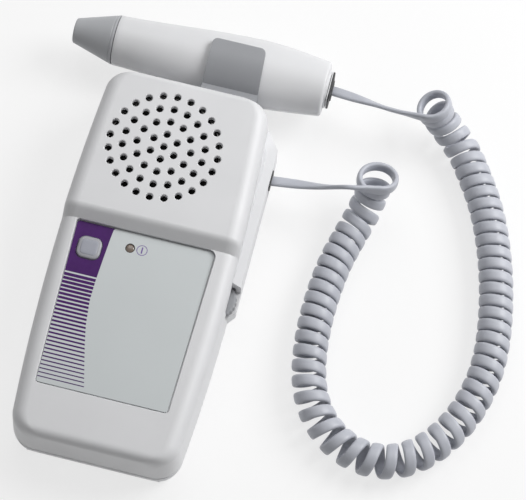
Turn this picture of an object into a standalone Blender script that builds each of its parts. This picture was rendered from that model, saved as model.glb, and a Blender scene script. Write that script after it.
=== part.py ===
"""Handheld vascular doppler: a battery housing with a loudspeaker, a pencil probe held in
a clip across its top end, and the flat curly cord that joins the two.

The housing lies on its back. +X is its right side, +Y its top end and +Z points out of its
front. The origin is the middle of the back face. Lengths are in metres.
"""

import math

import bmesh
import bpy
import numpy as np
from mathutils import Vector
from mathutils.kdtree import KDTree

MM = 0.001
GAP = 0.3 * MM  # left between pieces that touch
OVERRUN = 1.5 * MM  # how far a cutter reaches past what it cuts

# Housing, outside
HOUSING_LENGTH = 175.2 * MM
HOUSING_WIDTH = 83.2 * MM
STEP_HEIGHT = 4.6 * MM  # from the lower front to the raised speaker section
LOWER_FRONT_FALL = 1.9 * MM  # how much the lower front sinks towards the bottom end
PARTING_HEIGHT = 9.0 * MM  # where the front and rear shells meet
SIDE_BOW_RADIUS = 990.0 * MM
WIDEST_Y = 2.4 * MM
END_CORNER_RADIUS = 9.0 * MM
BOTTOM_CORNER_EXTRA = 1.6 * MM  # how much rounder the bottom end's corners are
FRONT_BOTTOM_ROUND = 4.0 * MM  # of the front face's edge at the bottom end
FRONT_TOP_ROUND = 2.4 * MM  # and at the top end
BOTTOM_END_LEAN = 0.8 * MM
SIDE_DRAFT = 0.9 * MM
EDGE_ROUND_ACROSS = 7.0 * MM
EDGE_ROUND_DOWN = 6.0 * MM
REAR_TAPER = 3.4 * MM  # how far the rear shell draws in, at the sides and ends
REAR_LIP = 1.0 * MM  # its upright edge at the parting line
STEP_ROOM = 12.75 * MM  # from the speaker's rim to the foot of the step
STEP_RUN = 6.4 * MM
SHELL_WALL = 2.4 * MM
CORNER_STEPS = 4
TAPER_STEPS = 3
SIDE_STATIONS = 5

# Side rail on the right, which carries the cord socket and the volume wheel
RAIL_REACH = 2.9 * MM  # how far it stands out of the widest side
RAIL_DROP = 11.0 * MM  # from the raised front down to its top
RAIL_FOOT = 4.5 * MM
RAIL_TOP_CHAMFER = 4.0 * MM
RAIL_FOOT_CHAMFER = 3.5 * MM
RAIL_UPPER_INSET = 16.1 * MM  # from the top end to where it starts to slope
RAIL_UPPER_SLOPE = 8.5 * MM
RAIL_PAST_WHEEL = 2.5 * MM  # from the wheel's axis down to where it starts to slope
RAIL_LOWER_SLOPE = 3.8 * MM
RAIL_ROOT = 6.0 * MM  # how deep its body is set into the side wall

# Speaker and its holes
SPEAKER_X = -4.4 * MM
SPEAKER_SIDE_ROOM = 6.8 * MM  # from its rim to the left wall
SPEAKER_END_ROOM = 2.85 * MM  # from its rim to the top end's wall
SPEAKER_FLANGE = 1.2 * MM
SPEAKER_FLANGE_WIDTH = 2.6 * MM
SPEAKER_DEPTH = 13.2 * MM
SPEAKER_SHEET = 1.0 * MM
SPEAKER_COLLAR = 2.4 * MM  # how deep its rim stands before it narrows
SPEAKER_BACK_RADIUS = 14.0 * MM
SPEAKER_CENTRE_HOLE = 5.0 * MM
CONE_SHEET = 0.6 * MM
CONE_NECK_RADIUS = 7.0 * MM
CONE_DEPTH = 8.0 * MM
DUST_CAP_RISE = 2.6 * MM
MAGNET_RADIUS = 14.5 * MM
MAGNET_HEIGHT = 7.5 * MM
MAGNET_CHAMFER = 0.8 * MM
GASKET_THICKNESS = 0.8 * MM
HOLE_RADIUS = 1.65 * MM
HOLE_MARGIN = 3.2 * MM  # from the outer ring of holes to the speaker's rim
HOLE_RINGS = 4
HOLE_SIDES = 8

# Label recess and what shows in it
LABEL_DEPTH = 2.2 * MM  # of the recess, below the lower front
LABEL_WALL = 2.0 * MM
LABEL_GLUE = 0.2 * MM
LABEL_THICKNESS = 0.5 * MM
LABEL_LOWER_INSET = 23.7 * MM  # from the bottom end
LABEL_LEFT_INSET = 8.3 * MM  # from the widest side, at its upper end
LABEL_RIGHT_INSET = 10.9 * MM
LABEL_BOTTOM_NARROWING = 2.3 * MM  # on each side, at its lower end
LABEL_CORNER = 1.5 * MM
LABEL_BIG_CORNER = 3.2 * MM
LABEL_MARGIN = 0.4 * MM
BUTTON_INSET = 17.1 * MM  # from the widest side to its middle
BUTTON_BELOW_STEP = 12.1 * MM
BUTTON_WIDTH = 10.6 * MM
BUTTON_LENGTH = 10.2 * MM
BUTTON_CORNER = 3.2 * MM
BUTTON_PROUD = 1.3 * MM
BUTTON_BEVEL_WIDTH = 1.3 * MM
BUTTON_BEVEL_HEIGHT = 0.7 * MM
BUTTON_FLANGE = 1.0 * MM
BUTTON_FLANGE_HEIGHT = 1.0 * MM
BUTTON_TRAVEL = 0.6 * MM
LED_X = -7.0 * MM
LED_BELOW_STEP = 7.7 * MM
LED_RADIUS = 1.9 * MM
LED_FOOT_RADIUS = 2.4 * MM
LED_FOOT_HEIGHT = 1.0 * MM

# Circuit board
BOARD_THICKNESS = 1.6 * MM
OVER_BOARD_ROOM = 5.2 * MM
UNDER_BOARD_ROOM = 3.5 * MM
BOARD_LEFT_INSET = 6.6 * MM  # from the widest side
BOARD_RIGHT_INSET = 4.6 * MM
BOARD_LOWER_INSET = 16.2 * MM  # from the bottom end
BOARD_PAST_STEP = 7.0 * MM
BOARD_CORNER = 3.0 * MM
BOARD_NARROWING = 2.8 * MM  # on each side, at its lower end
BOARD_SCREW_INSET = 5.0 * MM
SWITCH_WIDTH = 6.0 * MM
CHIP_WIDTH = 12.0 * MM
CHIP_LENGTH = 18.0 * MM
CHIP_HEIGHT = 2.2 * MM
CHIP_INSET = 35.4 * MM  # from the board's lower end to its middle

# Screws and bosses
CASE_SCREW_INSET_X = 10.6 * MM  # of the upper pair, from the widest side
CASE_SCREW_INSET_Y = 9.0 * MM  # of the upper pair, from the top end
CASE_SCREW_LOWER_X = 18.0 * MM  # of the pair above the battery well
CASE_SCREW_LENGTH = 14.0 * MM
CASE_POST_RADIUS = 4.2 * MM
CASE_HEAD_RADIUS = 2.9 * MM
CASE_HEAD_HEIGHT = 1.7 * MM
CASE_SHAFT_RADIUS = 1.3 * MM
CASE_HEAD_DEPTH = 2.6 * MM  # from the back face to the head
BOARD_BOSS_RADIUS = 3.0 * MM
BOARD_HEAD_RADIUS = 2.3 * MM
BOARD_HEAD_HEIGHT = 1.4 * MM
BOARD_SHAFT_RADIUS = 1.0 * MM
BOARD_SCREW_BITE = 3.4 * MM
CLIP_BOSS_RADIUS = 3.0 * MM
CLIP_BOSS_DEPTH = 6.0 * MM
CLIP_SCREW_BITE = 6.5 * MM
CLIP_HEAD_RADIUS = 2.3 * MM
CLIP_HEAD_HEIGHT = 1.5 * MM
CLIP_SHAFT_RADIUS = 1.1 * MM
SCREW_SIDES = 10
BOSS_SIDES = 12

# Volume wheel and its potentiometer
WHEEL_RADIUS = 9.0 * MM
WHEEL_PROUD = 2.5 * MM  # past the widest side
WHEEL_CLEARANCE = 11.7 * MM  # from the battery well to the wheel
WHEEL_THICKNESS = 3.6 * MM
WHEEL_TOOTH = 0.4 * MM
WHEEL_TEETH = 26
WHEEL_EDGE = 0.5 * MM
WHEEL_SLOT_MARGIN = 0.7 * MM
POT_WIDTH = 5.6 * MM
POT_SHAFT_RADIUS = 1.5 * MM
POT_CLEARANCE = 0.2 * MM

# Battery well, cells and door
CELL_RADIUS = 7.1 * MM
CELL_BODY = 49.0 * MM
CELL_NUB = 1.5 * MM
CELL_NUB_RADIUS = 2.75 * MM
CELL_EDGE = 0.6 * MM
CELL_APART = 0.4 * MM
CELL_SIDES = 14
WELL_INSET = 5.9 * MM  # from the bottom end
WELL_SIDE_ROOM = 20.0 * MM  # left of the housing's width beside the cells
WELL_SIDE_PLAY = 0.4 * MM
WELL_WALL = 1.6 * MM
WELL_SIDE_WALL = 2.6 * MM
WELL_CORNER = 2.8 * MM
SPRING_LENGTH = 3.4 * MM
SPRING_ROOT_RADIUS = 4.2 * MM
SPRING_TIP_RADIUS = 2.6 * MM
CONTACT_SIZE = 10.0 * MM
CONTACT_THICKNESS = 0.4 * MM
DOOR_THICKNESS = 2.2 * MM
DOOR_OVERLAP = 0.9 * MM  # past the well, at its closed end and sides
DOOR_TONGUE = 1.2 * MM
DOOR_TONGUE_FLOOR = 1.1 * MM
DOOR_TONGUE_HEIGHT = 0.8 * MM
DOOR_GRIP_COUNT = 4
DOOR_GRIP_PITCH = 3.0 * MM
DOOR_GRIP_WIDTH = 1.2 * MM
DOOR_GRIP_DEPTH = 0.5 * MM
DOOR_GRIP_LENGTH = 20.0 * MM

# Probe, lengths along its axis from the tip's face
PROBE_X = -61.3 * MM  # where the tip's face is
PROBE_STANDOFF = 21.0 * MM  # from the top end to its axis
TIP_LENGTH = 19.9 * MM
TIP_FACE_RADIUS = 6.0 * MM
TIP_ROUND = 0.9 * MM
TIP_WALL = 1.7 * MM
TIP_SPIGOT = 4.0 * MM
PROBE_LENGTH = 119.9 * MM
PROBE_NECK_HALF_WIDTH = 11.7 * MM
PROBE_WIDEST_HALF_WIDTH = 16.1 * MM
PROBE_TAIL_HALF_WIDTH = 12.8 * MM
PROBE_WIDEST_HALF_HEIGHT = 13.2 * MM
PROBE_TAIL_HALF_HEIGHT = 12.2 * MM
PROBE_WIDEST_AT = 91.0 * MM
PROBE_TAIL_ROUND = 1.0 * MM
PROBE_NECK_LENGTH = 1.0 * MM  # of the smaller neck behind the tail
PROBE_NECK_INSET = 4.0 * MM
PROBE_WALL = 2.0 * MM
PROBE_SIDES = 20
PROBE_STATIONS = 7
WINDOW_RADIUS = 4.3 * MM
WINDOW_THICKNESS = 3.0 * MM
CRYSTAL_RADIUS = 3.8 * MM
CRYSTAL_THICKNESS = 0.7 * MM
CRYSTAL_SPLIT = 0.6 * MM
BACKING_LENGTH = 7.0 * MM
PROBE_BOARD_START = 27.0 * MM
PROBE_BOARD_LENGTH = 52.0 * MM
PROBE_BOARD_WIDTH = 14.0 * MM
PROBE_BOARD_THICKNESS = 1.2 * MM
PROBE_POST_RADIUS = 2.2 * MM
PROBE_POST_SHARES = (0.12, 0.88)  # along the board

# Clip that holds the probe, on the top end
CLIP_LEFT_INSET = 38.1 * MM  # from the housing's right side
CLIP_RIGHT_INSET = 13.2 * MM
CLIP_FLARE = 1.5 * MM  # how much wider it is at its root, on the right
CLIP_THICKNESS = 2.3 * MM
CLIP_ARM = 5.9 * MM  # how far the arms reach past the probe's axis
CLIP_CORNER = 2.6 * MM
CLIP_PAD_HALF_HEIGHT = 11.5 * MM
CLIP_PAD_DEPTH = 2.6 * MM
CLIP_SCREW_SHARES = (0.28, 0.74)  # along its width

# Cord sockets and plugs, alike at both ends of the cord but for the plate round them
UNIT_PLATE_WIDTH = 14.2 * MM
UNIT_PLATE_HEIGHT = 10.6 * MM
PROBE_PLATE_WIDTH = 15.6 * MM
PROBE_PLATE_HEIGHT = 12.0 * MM
PLATE_THICKNESS = 1.2 * MM
PLATE_CORNER = 3.0 * MM
SOCKET_WIDTH = 11.8 * MM
SOCKET_HEIGHT = 8.2 * MM
SOCKET_DEPTH = 11.5 * MM
PLUG_WIDTH = 8.6 * MM
PLUG_HEIGHT = 5.4 * MM
PLUG_DEPTH = 9.5 * MM
PLUG_PROUD = 0.6 * MM
SOCKET_INSET = 28.8 * MM  # from the top end to the unit's socket
SOCKET_DROP = 10.0 * MM  # from the rail's top to the unit's socket

# Flat curly cord
CORD_WIDTH = 4.6 * MM
CORD_THICKNESS = 2.4 * MM
CORD_EDGE = 0.7 * MM
COIL_RADIUS = 6.6 * MM  # to the middle of the cord
UNIT_RING_RADIUS = 9.0 * MM
PROBE_RING_RADIUS = 7.9 * MM
RING_FADE = 8.0 * MM
UNIT_RING_FACING = (0.16, -1.0, 0.0)  # the side of the unit's ring where the lead comes in
PROBE_RING_FACING = (-0.25, -1.0, 0.0)
COIL_TIGHT_PITCH = 5.95 * MM
COIL_LOOSE_PITCH = 8.3 * MM  # where the coil is pulled open most
COIL_LOOSE_PLACE = 156.0 * MM  # along the coil from the unit's ring
COIL_LOOSE_REACH = 95.0 * MM  # to each side of that place
COIL_LEAST_SPACING = 4.95 * MM  # between curls, on the inside of a bend
COIL_POINTS = 9  # points to a curl
LEAD_STEP = 8.0 * MM
COIL_ROUTE = [  # the middle of the coil: x, y, z
    (91.5 * MM, 69.6 * MM, 26.9 * MM),
    (91.1 * MM, 67.7 * MM, 21.7 * MM),
    (90.5 * MM, 64.8 * MM, 17.1 * MM),
    (89.7 * MM, 60.9 * MM, 13.2 * MM),
    (88.5 * MM, 56.3 * MM, 10.3 * MM),
    (87.1 * MM, 51.3 * MM, 8.5 * MM),
    (85.5 * MM, 46.1 * MM, 7.9 * MM),
    (83.9 * MM, 39.6 * MM, 7.9 * MM),
    (81.4 * MM, 30.2 * MM, 7.9 * MM),
    (79.3 * MM, 8.7 * MM, 7.9 * MM),
    (80.0 * MM, -11.5 * MM, 7.9 * MM),
    (83.4 * MM, -28.8 * MM, 7.9 * MM),
    (89.6 * MM, -40.4 * MM, 7.9 * MM),
    (97.8 * MM, -48.8 * MM, 7.9 * MM),
    (109.2 * MM, -54.8 * MM, 7.9 * MM),
    (123.0 * MM, -56.0 * MM, 7.9 * MM),
    (136.6 * MM, -50.2 * MM, 7.9 * MM),
    (148.6 * MM, -36.8 * MM, 7.9 * MM),
    (156.6 * MM, -19.6 * MM, 7.9 * MM),
    (160.2 * MM, 0.6 * MM, 7.9 * MM),
    (158.4 * MM, 22.6 * MM, 7.9 * MM),
    (153.4 * MM, 46.6 * MM, 7.9 * MM),
    (145.8 * MM, 68.0 * MM, 7.9 * MM),
    (139.4 * MM, 80.2 * MM, 7.9 * MM),
    (134.6 * MM, 87.6 * MM, 7.9 * MM),
    (128.5 * MM, 97.1 * MM, 7.9 * MM),
    (124.6 * MM, 101.1 * MM, 8.5 * MM),
    (120.4 * MM, 104.4 * MM, 10.3 * MM),
    (116.3 * MM, 107.0 * MM, 13.3 * MM),
    (112.5 * MM, 108.6 * MM, 17.2 * MM),
    (109.5 * MM, 109.6 * MM, 21.9 * MM),
    (107.5 * MM, 110.0 * MM, 27.2 * MM),
]
UNIT_LEAD_BENDS = [(55.9 * MM, 59.4 * MM, 18.6 * MM), (69.6 * MM, 59.1 * MM, 23.4 * MM)]
PROBE_LEAD_BENDS = [(71.5 * MM, 107.4 * MM, 20.0 * MM), (84.0 * MM, 104.8 * MM, 23.0 * MM)]

# Heights, from the back up through the door, a cell, the board and the front
WIDTH_HALF = HOUSING_WIDTH / 2
LENGTH_HALF = HOUSING_LENGTH / 2
REAR_BRIM = PARTING_HEIGHT - GAP
REAR_SHOULDER = REAR_BRIM - REAR_LIP
CELL_AXIS_Z = DOOR_THICKNESS + 2 * GAP + CELL_RADIUS
WELL_CEILING = CELL_AXIS_Z + CELL_RADIUS + GAP
BOARD_FLOOR = WELL_CEILING + WELL_WALL + UNDER_BOARD_ROOM
BOARD_TOP = BOARD_FLOOR + BOARD_THICKNESS
CEILING = BOARD_TOP + OVER_BOARD_ROOM  # inside of the lower front
LABEL_FLOOR = CEILING + LABEL_WALL
LOWER_FRONT_HEIGHT = LABEL_FLOOR + LABEL_DEPTH  # at the foot of the step
FRONT_HEIGHT = LOWER_FRONT_HEIGHT + STEP_HEIGHT
RAISED_CEILING = FRONT_HEIGHT - SHELL_WALL
RAIL_TOP = FRONT_HEIGHT - RAIL_DROP
SOCKET_Z = RAIL_TOP - SOCKET_DROP
PROBE_Z = FRONT_HEIGHT / 2

# Places across and along the housing
SPEAKER_RADIUS = WIDTH_HALF + SPEAKER_X - SHELL_WALL - SPEAKER_SIDE_ROOM
SPEAKER_Y = LENGTH_HALF - SHELL_WALL - SPEAKER_END_ROOM - SPEAKER_RADIUS
HOLE_PITCH = (SPEAKER_RADIUS - HOLE_MARGIN) / HOLE_RINGS
STEP_FOOT_Y = SPEAKER_Y - SPEAKER_RADIUS - STEP_ROOM
LABEL_LOWER_Y = LABEL_LOWER_INSET - LENGTH_HALF
LABEL_TOP_LEFT_X = LABEL_LEFT_INSET - WIDTH_HALF
LABEL_TOP_RIGHT_X = WIDTH_HALF - LABEL_RIGHT_INSET
BUTTON_X = BUTTON_INSET - WIDTH_HALF
BUTTON_Y = STEP_FOOT_Y - BUTTON_BELOW_STEP
LED_Y = STEP_FOOT_Y - LED_BELOW_STEP
BOARD_LEFT = BOARD_LEFT_INSET - WIDTH_HALF
BOARD_RIGHT = WIDTH_HALF - BOARD_RIGHT_INSET
BOARD_LOWER_Y = BOARD_LOWER_INSET - LENGTH_HALF
BOARD_UPPER_Y = STEP_FOOT_Y + BOARD_PAST_STEP
CHIP_Y = BOARD_LOWER_Y + CHIP_INSET
PROBE_Y = LENGTH_HALF + PROBE_STANDOFF
SOCKET_Y = LENGTH_HALF - SOCKET_INSET
SOCKET_X = WIDTH_HALF + RAIL_REACH - PLATE_THICKNESS - GAP  # its plate is flush with the rail

# Battery well, and what lies above it
CELL_SPACING = 2 * CELL_RADIUS + CELL_APART
CELL_COUNT = int((HOUSING_WIDTH - WELL_SIDE_ROOM) // CELL_SPACING)
CELL_LENGTH = CELL_BODY + CELL_NUB
CONTACT_ROOM = 2 * GAP + CONTACT_THICKNESS
WELL_HALF_WIDTH = CELL_SPACING * (CELL_COUNT - 1) / 2 + CELL_RADIUS + WELL_SIDE_PLAY
WELL_LENGTH = CELL_LENGTH + 2 * CONTACT_ROOM + SPRING_LENGTH
WELL_LOWER_Y = WELL_INSET - LENGTH_HALF
WELL_UPPER_Y = WELL_LOWER_Y + WELL_LENGTH
DOOR_HALF_WIDTH = WELL_HALF_WIDTH + DOOR_OVERLAP
WHEEL_X = WIDTH_HALF + WHEEL_PROUD - WHEEL_RADIUS
WHEEL_Y = WELL_UPPER_Y + WELL_WALL + WHEEL_CLEARANCE + WHEEL_RADIUS
POT_FLOOR = BOARD_FLOOR - GAP
WHEEL_TOP = BOARD_FLOOR - 2 * GAP - WHEEL_THICKNESS / 2
WHEEL_FLOOR = WHEEL_TOP - WHEEL_THICKNESS
RAIL_UPPER_Y = LENGTH_HALF - RAIL_UPPER_INSET
RAIL_LOWER_Y = WHEEL_Y - RAIL_PAST_WHEEL
CASE_SCREW_PLACES = [
    place
    for side in (-1, 1)
    for place in (
        (side * (WIDTH_HALF - CASE_SCREW_INSET_X), LENGTH_HALF - CASE_SCREW_INSET_Y),
        (side * CASE_SCREW_LOWER_X, WELL_UPPER_Y + WELL_WALL + GAP + CASE_POST_RADIUS),
    )
]
BOARD_SCREW_PLACES = [
    (x, y)
    for x in (BOARD_LEFT + BOARD_SCREW_INSET, BOARD_RIGHT - BOARD_SCREW_INSET)
    for y in (BOARD_LOWER_Y + BOARD_SCREW_INSET, BOARD_UPPER_Y - BOARD_SCREW_INSET)
]

# Seats of the smaller pieces
CLIP_LEFT = WIDTH_HALF - CLIP_LEFT_INSET
CLIP_RIGHT = WIDTH_HALF - CLIP_RIGHT_INSET
CLIP_SCREW_XS = [CLIP_LEFT + (CLIP_RIGHT - CLIP_LEFT) * share for share in CLIP_SCREW_SHARES]
BUTTON_FOOT = CEILING - GAP - BUTTON_FLANGE_HEIGHT
SWITCH_TOP = BUTTON_FOOT - BUTTON_TRAVEL - GAP / 2
SPEAKER_TOP = RAISED_CEILING - GAP - GASKET_THICKNESS - GAP
PROBE_SPLIT = GAP / 2


def clear_scene():
    for item in list(bpy.data.objects):
        bpy.data.objects.remove(item)


def paint(name, colour, roughness, metallic=0.0, alpha=1.0):
    """A Principled material in one colour."""
    made = bpy.data.materials.new(name)
    made.use_nodes = True
    shader = made.node_tree.nodes["Principled BSDF"]
    shader.inputs["Base Color"].default_value = (*colour, 1.0)
    shader.inputs["Roughness"].default_value = roughness
    shader.inputs["Metallic"].default_value = metallic
    shader.inputs["Alpha"].default_value = alpha
    made.diffuse_color = (*colour, alpha)
    return made


def empty(name, at=(0, 0, 0), parent=None):
    made = bpy.data.objects.new(name, None)
    bpy.context.scene.collection.objects.link(made)
    made.location = at
    made.parent = parent
    return made


# Shapes are pairs of a list of points and a list of faces, joined before a mesh is made.


def loft(rings):
    """A closed skin over rings of equally many points, with a flat face at each end."""
    count = len(rings[0])
    points = [tuple(p) for ring in rings for p in ring]
    faces = [tuple(range(count)), tuple(range(len(points) - 1, len(points) - count - 1, -1))]
    for level in range(len(rings) - 1):
        low = level * count
        for i in range(count):
            j = (i + 1) % count
            faces.append((low + i, low + count + i, low + count + j, low + j))
    return points, faces


def turned(profile, sides):
    """A closed profile of (radius, height) turned about Z. It may start and end on the axis."""
    points, rows = [], []
    for radius, height in profile:
        if radius == 0:
            rows.append([len(points)] * sides)
            points.append((0, 0, height))
            continue
        rows.append(list(range(len(points), len(points) + sides)))
        for i in range(sides):
            turn = math.tau * i / sides
            points.append((radius * math.cos(turn), radius * math.sin(turn), height))
    on_axis = profile[0][0] == 0 and profile[-1][0] == 0
    pairs = list(zip(rows, rows[1:] if on_axis else rows[1:] + rows[:1]))
    faces = []
    for low, high in pairs:
        for i in range(sides):
            j = (i + 1) % sides
            corners = [low[i], low[j], high[j], high[i]]
            face = [c for k, c in enumerate(corners) if c not in corners[:k]]
            if len(face) > 2:
                faces.append(tuple(face))
    return points, faces


def block(low, high):
    (x0, y0, z0), (x1, y1, z1) = low, high
    corners = [(x0, y0), (x1, y0), (x1, y1), (x0, y1)]
    return loft([[(x, y, z0) for x, y in corners], [(x, y, z1) for x, y in corners]])


def prism(outline, low, high):
    """An outline in X and Y, drawn up from one height to another."""
    return loft([[(x, y, low) for x, y in outline], [(x, y, high) for x, y in outline]])


def rounded(corners, radii, steps=3):
    """An outline whose corners are arcs of the given radii."""
    outline = []
    for i, (corner, radius) in enumerate(zip(corners, radii)):
        here = Vector(corner)
        before = (Vector(corners[i - 1]) - here).normalized()
        after = (Vector(corners[(i + 1) % len(corners)]) - here).normalized()
        half = before.angle(after) / 2
        centre = here + (before + after).normalized() * (radius / math.sin(half))
        start = here + before * (radius / math.tan(half)) - centre
        stop = here + after * (radius / math.tan(half)) - centre
        for k in range(steps + 1):
            spoke = start.lerp(stop, k / steps).normalized() * radius
            outline.append(tuple(centre + spoke))
    return outline


def rounded_rectangle(width, length, radius, steps=3, at=(0, 0)):
    left, right = at[0] - width / 2, at[0] + width / 2
    low, high = at[1] - length / 2, at[1] + length / 2
    corners = [(left, low), (right, low), (right, high), (left, high)]
    return rounded(corners, [radius] * 4, steps)


def swapped(shape, order):
    """The shape with its axes in another order, such as (2, 0, 1)."""
    points, faces = shape
    return [tuple(p[k] for k in order) for p in points], faces


def moved(shape, by):
    points, faces = shape
    return [tuple(a + b for a, b in zip(p, by)) for p in points], faces


def together(*shapes):
    points, faces = [], []
    for more_points, more_faces in shapes:
        faces += [tuple(i + len(points) for i in face) for face in more_faces]
        points += more_points
    return points, faces


def rod(radius, low, high, sides=BOSS_SIDES, at=(0, 0)):
    """An upright cylinder."""
    return moved(turned([(0, low), (radius, low), (radius, high), (0, high)], sides), (*at, 0))


def solid(name, shape, material, parent, at=(0, 0, 0), smooth_angle=35.0):
    """A named object made from a shape, with its faces turned outwards."""
    mesh = bpy.data.meshes.new(name)
    work = bmesh.new()
    made = [work.verts.new(p) for p in shape[0]]
    for face in shape[1]:
        work.faces.new([made[i] for i in face])
    bmesh.ops.recalc_face_normals(work, faces=work.faces)
    work.to_mesh(mesh)
    work.free()
    if material:
        mesh.materials.append(material)
    mesh.shade_smooth()
    mesh.set_sharp_from_angle(angle=math.radians(smooth_angle))
    item = bpy.data.objects.new(name, mesh)
    bpy.context.scene.collection.objects.link(item)
    item.parent = parent
    item.location = at
    return item


def tool(name, shape, parent, at=(0, 0, 0)):
    """A shape that only cuts or joins others, and isn't part of the object."""
    item = solid(name, shape, None, parent, at)
    item.hide_render = True
    item.display_type = "WIRE"
    return item


def combine(item, other, operation):
    change = item.modifiers.new(operation.lower(), "BOOLEAN")
    change.operation = operation
    change.object = other
    change.solver = "EXACT"


# Outline of the housing


def half_width(y):
    """Half the housing's width at the parting line, without the rounded plan corners."""
    return WIDTH_HALF - SIDE_BOW_RADIUS + math.sqrt(SIDE_BOW_RADIUS**2 - (y - WIDEST_Y) ** 2)


def rounding(distance, radius):
    """How far a rounded corner draws in at a distance from the end of the edge."""
    if distance >= radius:
        return 0.0
    return radius - math.sqrt(max(radius**2 - (radius - distance) ** 2, 0.0))


def lower_front(y):
    fall = LOWER_FRONT_FALL * (STEP_FOOT_Y - y) / (STEP_FOOT_Y + LENGTH_HALF)
    return LOWER_FRONT_HEIGHT - fall


STEP_SHARES = ((0.0, 0.0), (0.55, 0.71), (0.7, 0.87), (0.85, 0.967), (1.0, 1.0))  # run, rise


def front_height(y):
    """Height of the front face: the lower front, the rounded step and the raised section."""
    if y <= STEP_FOOT_Y:
        return lower_front(y)
    share = (y - STEP_FOOT_Y) / STEP_RUN
    runs, rises = zip(*STEP_SHARES)
    rise = float(np.interp(share, runs, rises))
    return LOWER_FRONT_HEIGHT + (FRONT_HEIGHT - LOWER_FRONT_HEIGHT) * rise


def stations(inset, corner):
    """Places along Y for the housing's cross-sections, closer together at the ends and the step."""
    end = LENGTH_HALF - inset
    arc = [1 - math.sin(math.pi / 2 * i / CORNER_STEPS) for i in range(CORNER_STEPS + 1)]
    lower = [(corner + BOTTOM_CORNER_EXTRA) * share - end for share in reversed(arc)]
    upper = [end - corner * share for share in arc]
    step = [STEP_FOOT_Y + inset + STEP_RUN * run for run, _ in STEP_SHARES]
    below = np.linspace(lower[-1], step[0], SIDE_STATIONS)[1:-1]
    above = np.linspace(step[-1], upper[0], SIDE_STATIONS - 1)[1:-1]
    return [*lower, *below, *step, *above, *upper]


def front_section(y, inset, corner, foot, height, across, down):
    """One cross-section of the front shell, an arch on a flat foot."""
    distance = max(LENGTH_HALF - inset - abs(y), 0.0)
    if y < 0:
        corner += BOTTOM_CORNER_EXTRA
    edge_round = FRONT_BOTTOM_ROUND if y < 0 else FRONT_TOP_ROUND
    half = half_width(y) - inset - rounding(distance, corner)
    top = height - rounding(distance, max(edge_round - inset, GAP))
    lean = BOTTOM_END_LEAN * max(1 - distance / corner, 0.0) if y < 0 else 0.0
    right = [(half, foot)]
    for i in range(CORNER_STEPS + 1):
        turn = math.pi / 2 * i / CORNER_STEPS
        x = half - SIDE_DRAFT - across + across * math.cos(turn)
        right.append((x, top - down + down * math.sin(turn)))
    profile = right + [(-x, z) for x, z in reversed(right)]
    return [(x, y + lean * (z - foot) / (height - foot), z) for x, z in profile]


def rear_section(y, inset, corner, floor, brim, taper):
    """One cross-section of the rear shell, a tray that draws in towards its floor."""
    distance = max(LENGTH_HALF - inset - abs(y), 0.0)
    if y < 0:
        corner += BOTTOM_CORNER_EXTRA
    half = half_width(y) - inset - rounding(distance, corner)
    rise = REAR_SHOULDER - floor
    low = REAR_SHOULDER - rise * math.sqrt(1 - max(1 - distance / taper, 0.0) ** 2)
    right = [(half, brim)]
    for i in range(TAPER_STEPS + 1):
        turn = math.pi / 2 * i / TAPER_STEPS
        z = REAR_SHOULDER + (low - REAR_SHOULDER) * math.sin(turn)
        right.append((half - taper * (1 - math.cos(turn)), z))
    profile = right + [(-x, z) for x, z in reversed(right)]
    return [(x, y, z) for x, z in profile]


def rail(low, high, low_chamfer, high_chamfer):
    """The side rail's body between two heights, chamfered above or below."""
    outer = WIDTH_HALF + RAIL_REACH
    levels = [(low, low_chamfer)]
    if low_chamfer:
        levels.append((low + low_chamfer, 0.0))
    if high_chamfer:
        levels.append((high - high_chamfer, 0.0))
    levels.append((high, high_chamfer))
    rings = []
    for z, back in levels:
        upper_root = half_width(RAIL_UPPER_Y + RAIL_UPPER_SLOPE) - RAIL_ROOT
        lower_root = half_width(RAIL_LOWER_Y - RAIL_LOWER_SLOPE) - RAIL_ROOT
        rings.append(
            [
                (upper_root, RAIL_UPPER_Y + RAIL_UPPER_SLOPE - back, z),
                (upper_root + RAIL_ROOT - back, RAIL_UPPER_Y + RAIL_UPPER_SLOPE - back, z),
                (outer - back, RAIL_UPPER_Y - back, z),
                (outer - back, RAIL_LOWER_Y + back, z),
                (lower_root + RAIL_ROOT - back, RAIL_LOWER_Y - RAIL_LOWER_SLOPE + back, z),
                (lower_root, RAIL_LOWER_Y - RAIL_LOWER_SLOPE + back, z),
            ]
        )
    return loft(rings)


# Label and speaker holes


def label_corners(margin):
    top, bottom = STEP_FOOT_Y - margin, LABEL_LOWER_Y + margin
    return [
        (LABEL_TOP_LEFT_X + LABEL_BOTTOM_NARROWING + margin, bottom),
        (LABEL_TOP_RIGHT_X - LABEL_BOTTOM_NARROWING - margin, bottom),
        (LABEL_TOP_RIGHT_X - margin, top),
        (LABEL_TOP_LEFT_X + margin, top),
    ]


def label_outline(margin):
    radii = [LABEL_CORNER, LABEL_CORNER, LABEL_BIG_CORNER, LABEL_CORNER]
    return rounded(label_corners(margin), [r - margin for r in radii])


def speaker_holes():
    """Holes on rings round a centre hole, each ring starting towards the top end."""
    places = [(SPEAKER_X, SPEAKER_Y)]
    for ring in range(1, HOLE_RINGS + 1):
        for i in range(6 * ring):
            turn = math.pi / 2 + math.tau * i / (6 * ring)
            x = SPEAKER_X + ring * HOLE_PITCH * math.cos(turn)
            places.append((x, SPEAKER_Y + ring * HOLE_PITCH * math.sin(turn)))
    low, high = RAISED_CEILING - OVERRUN, FRONT_HEIGHT + OVERRUN
    return together(*[rod(HOLE_RADIUS, low, high, HOLE_SIDES, at) for at in places])


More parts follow.
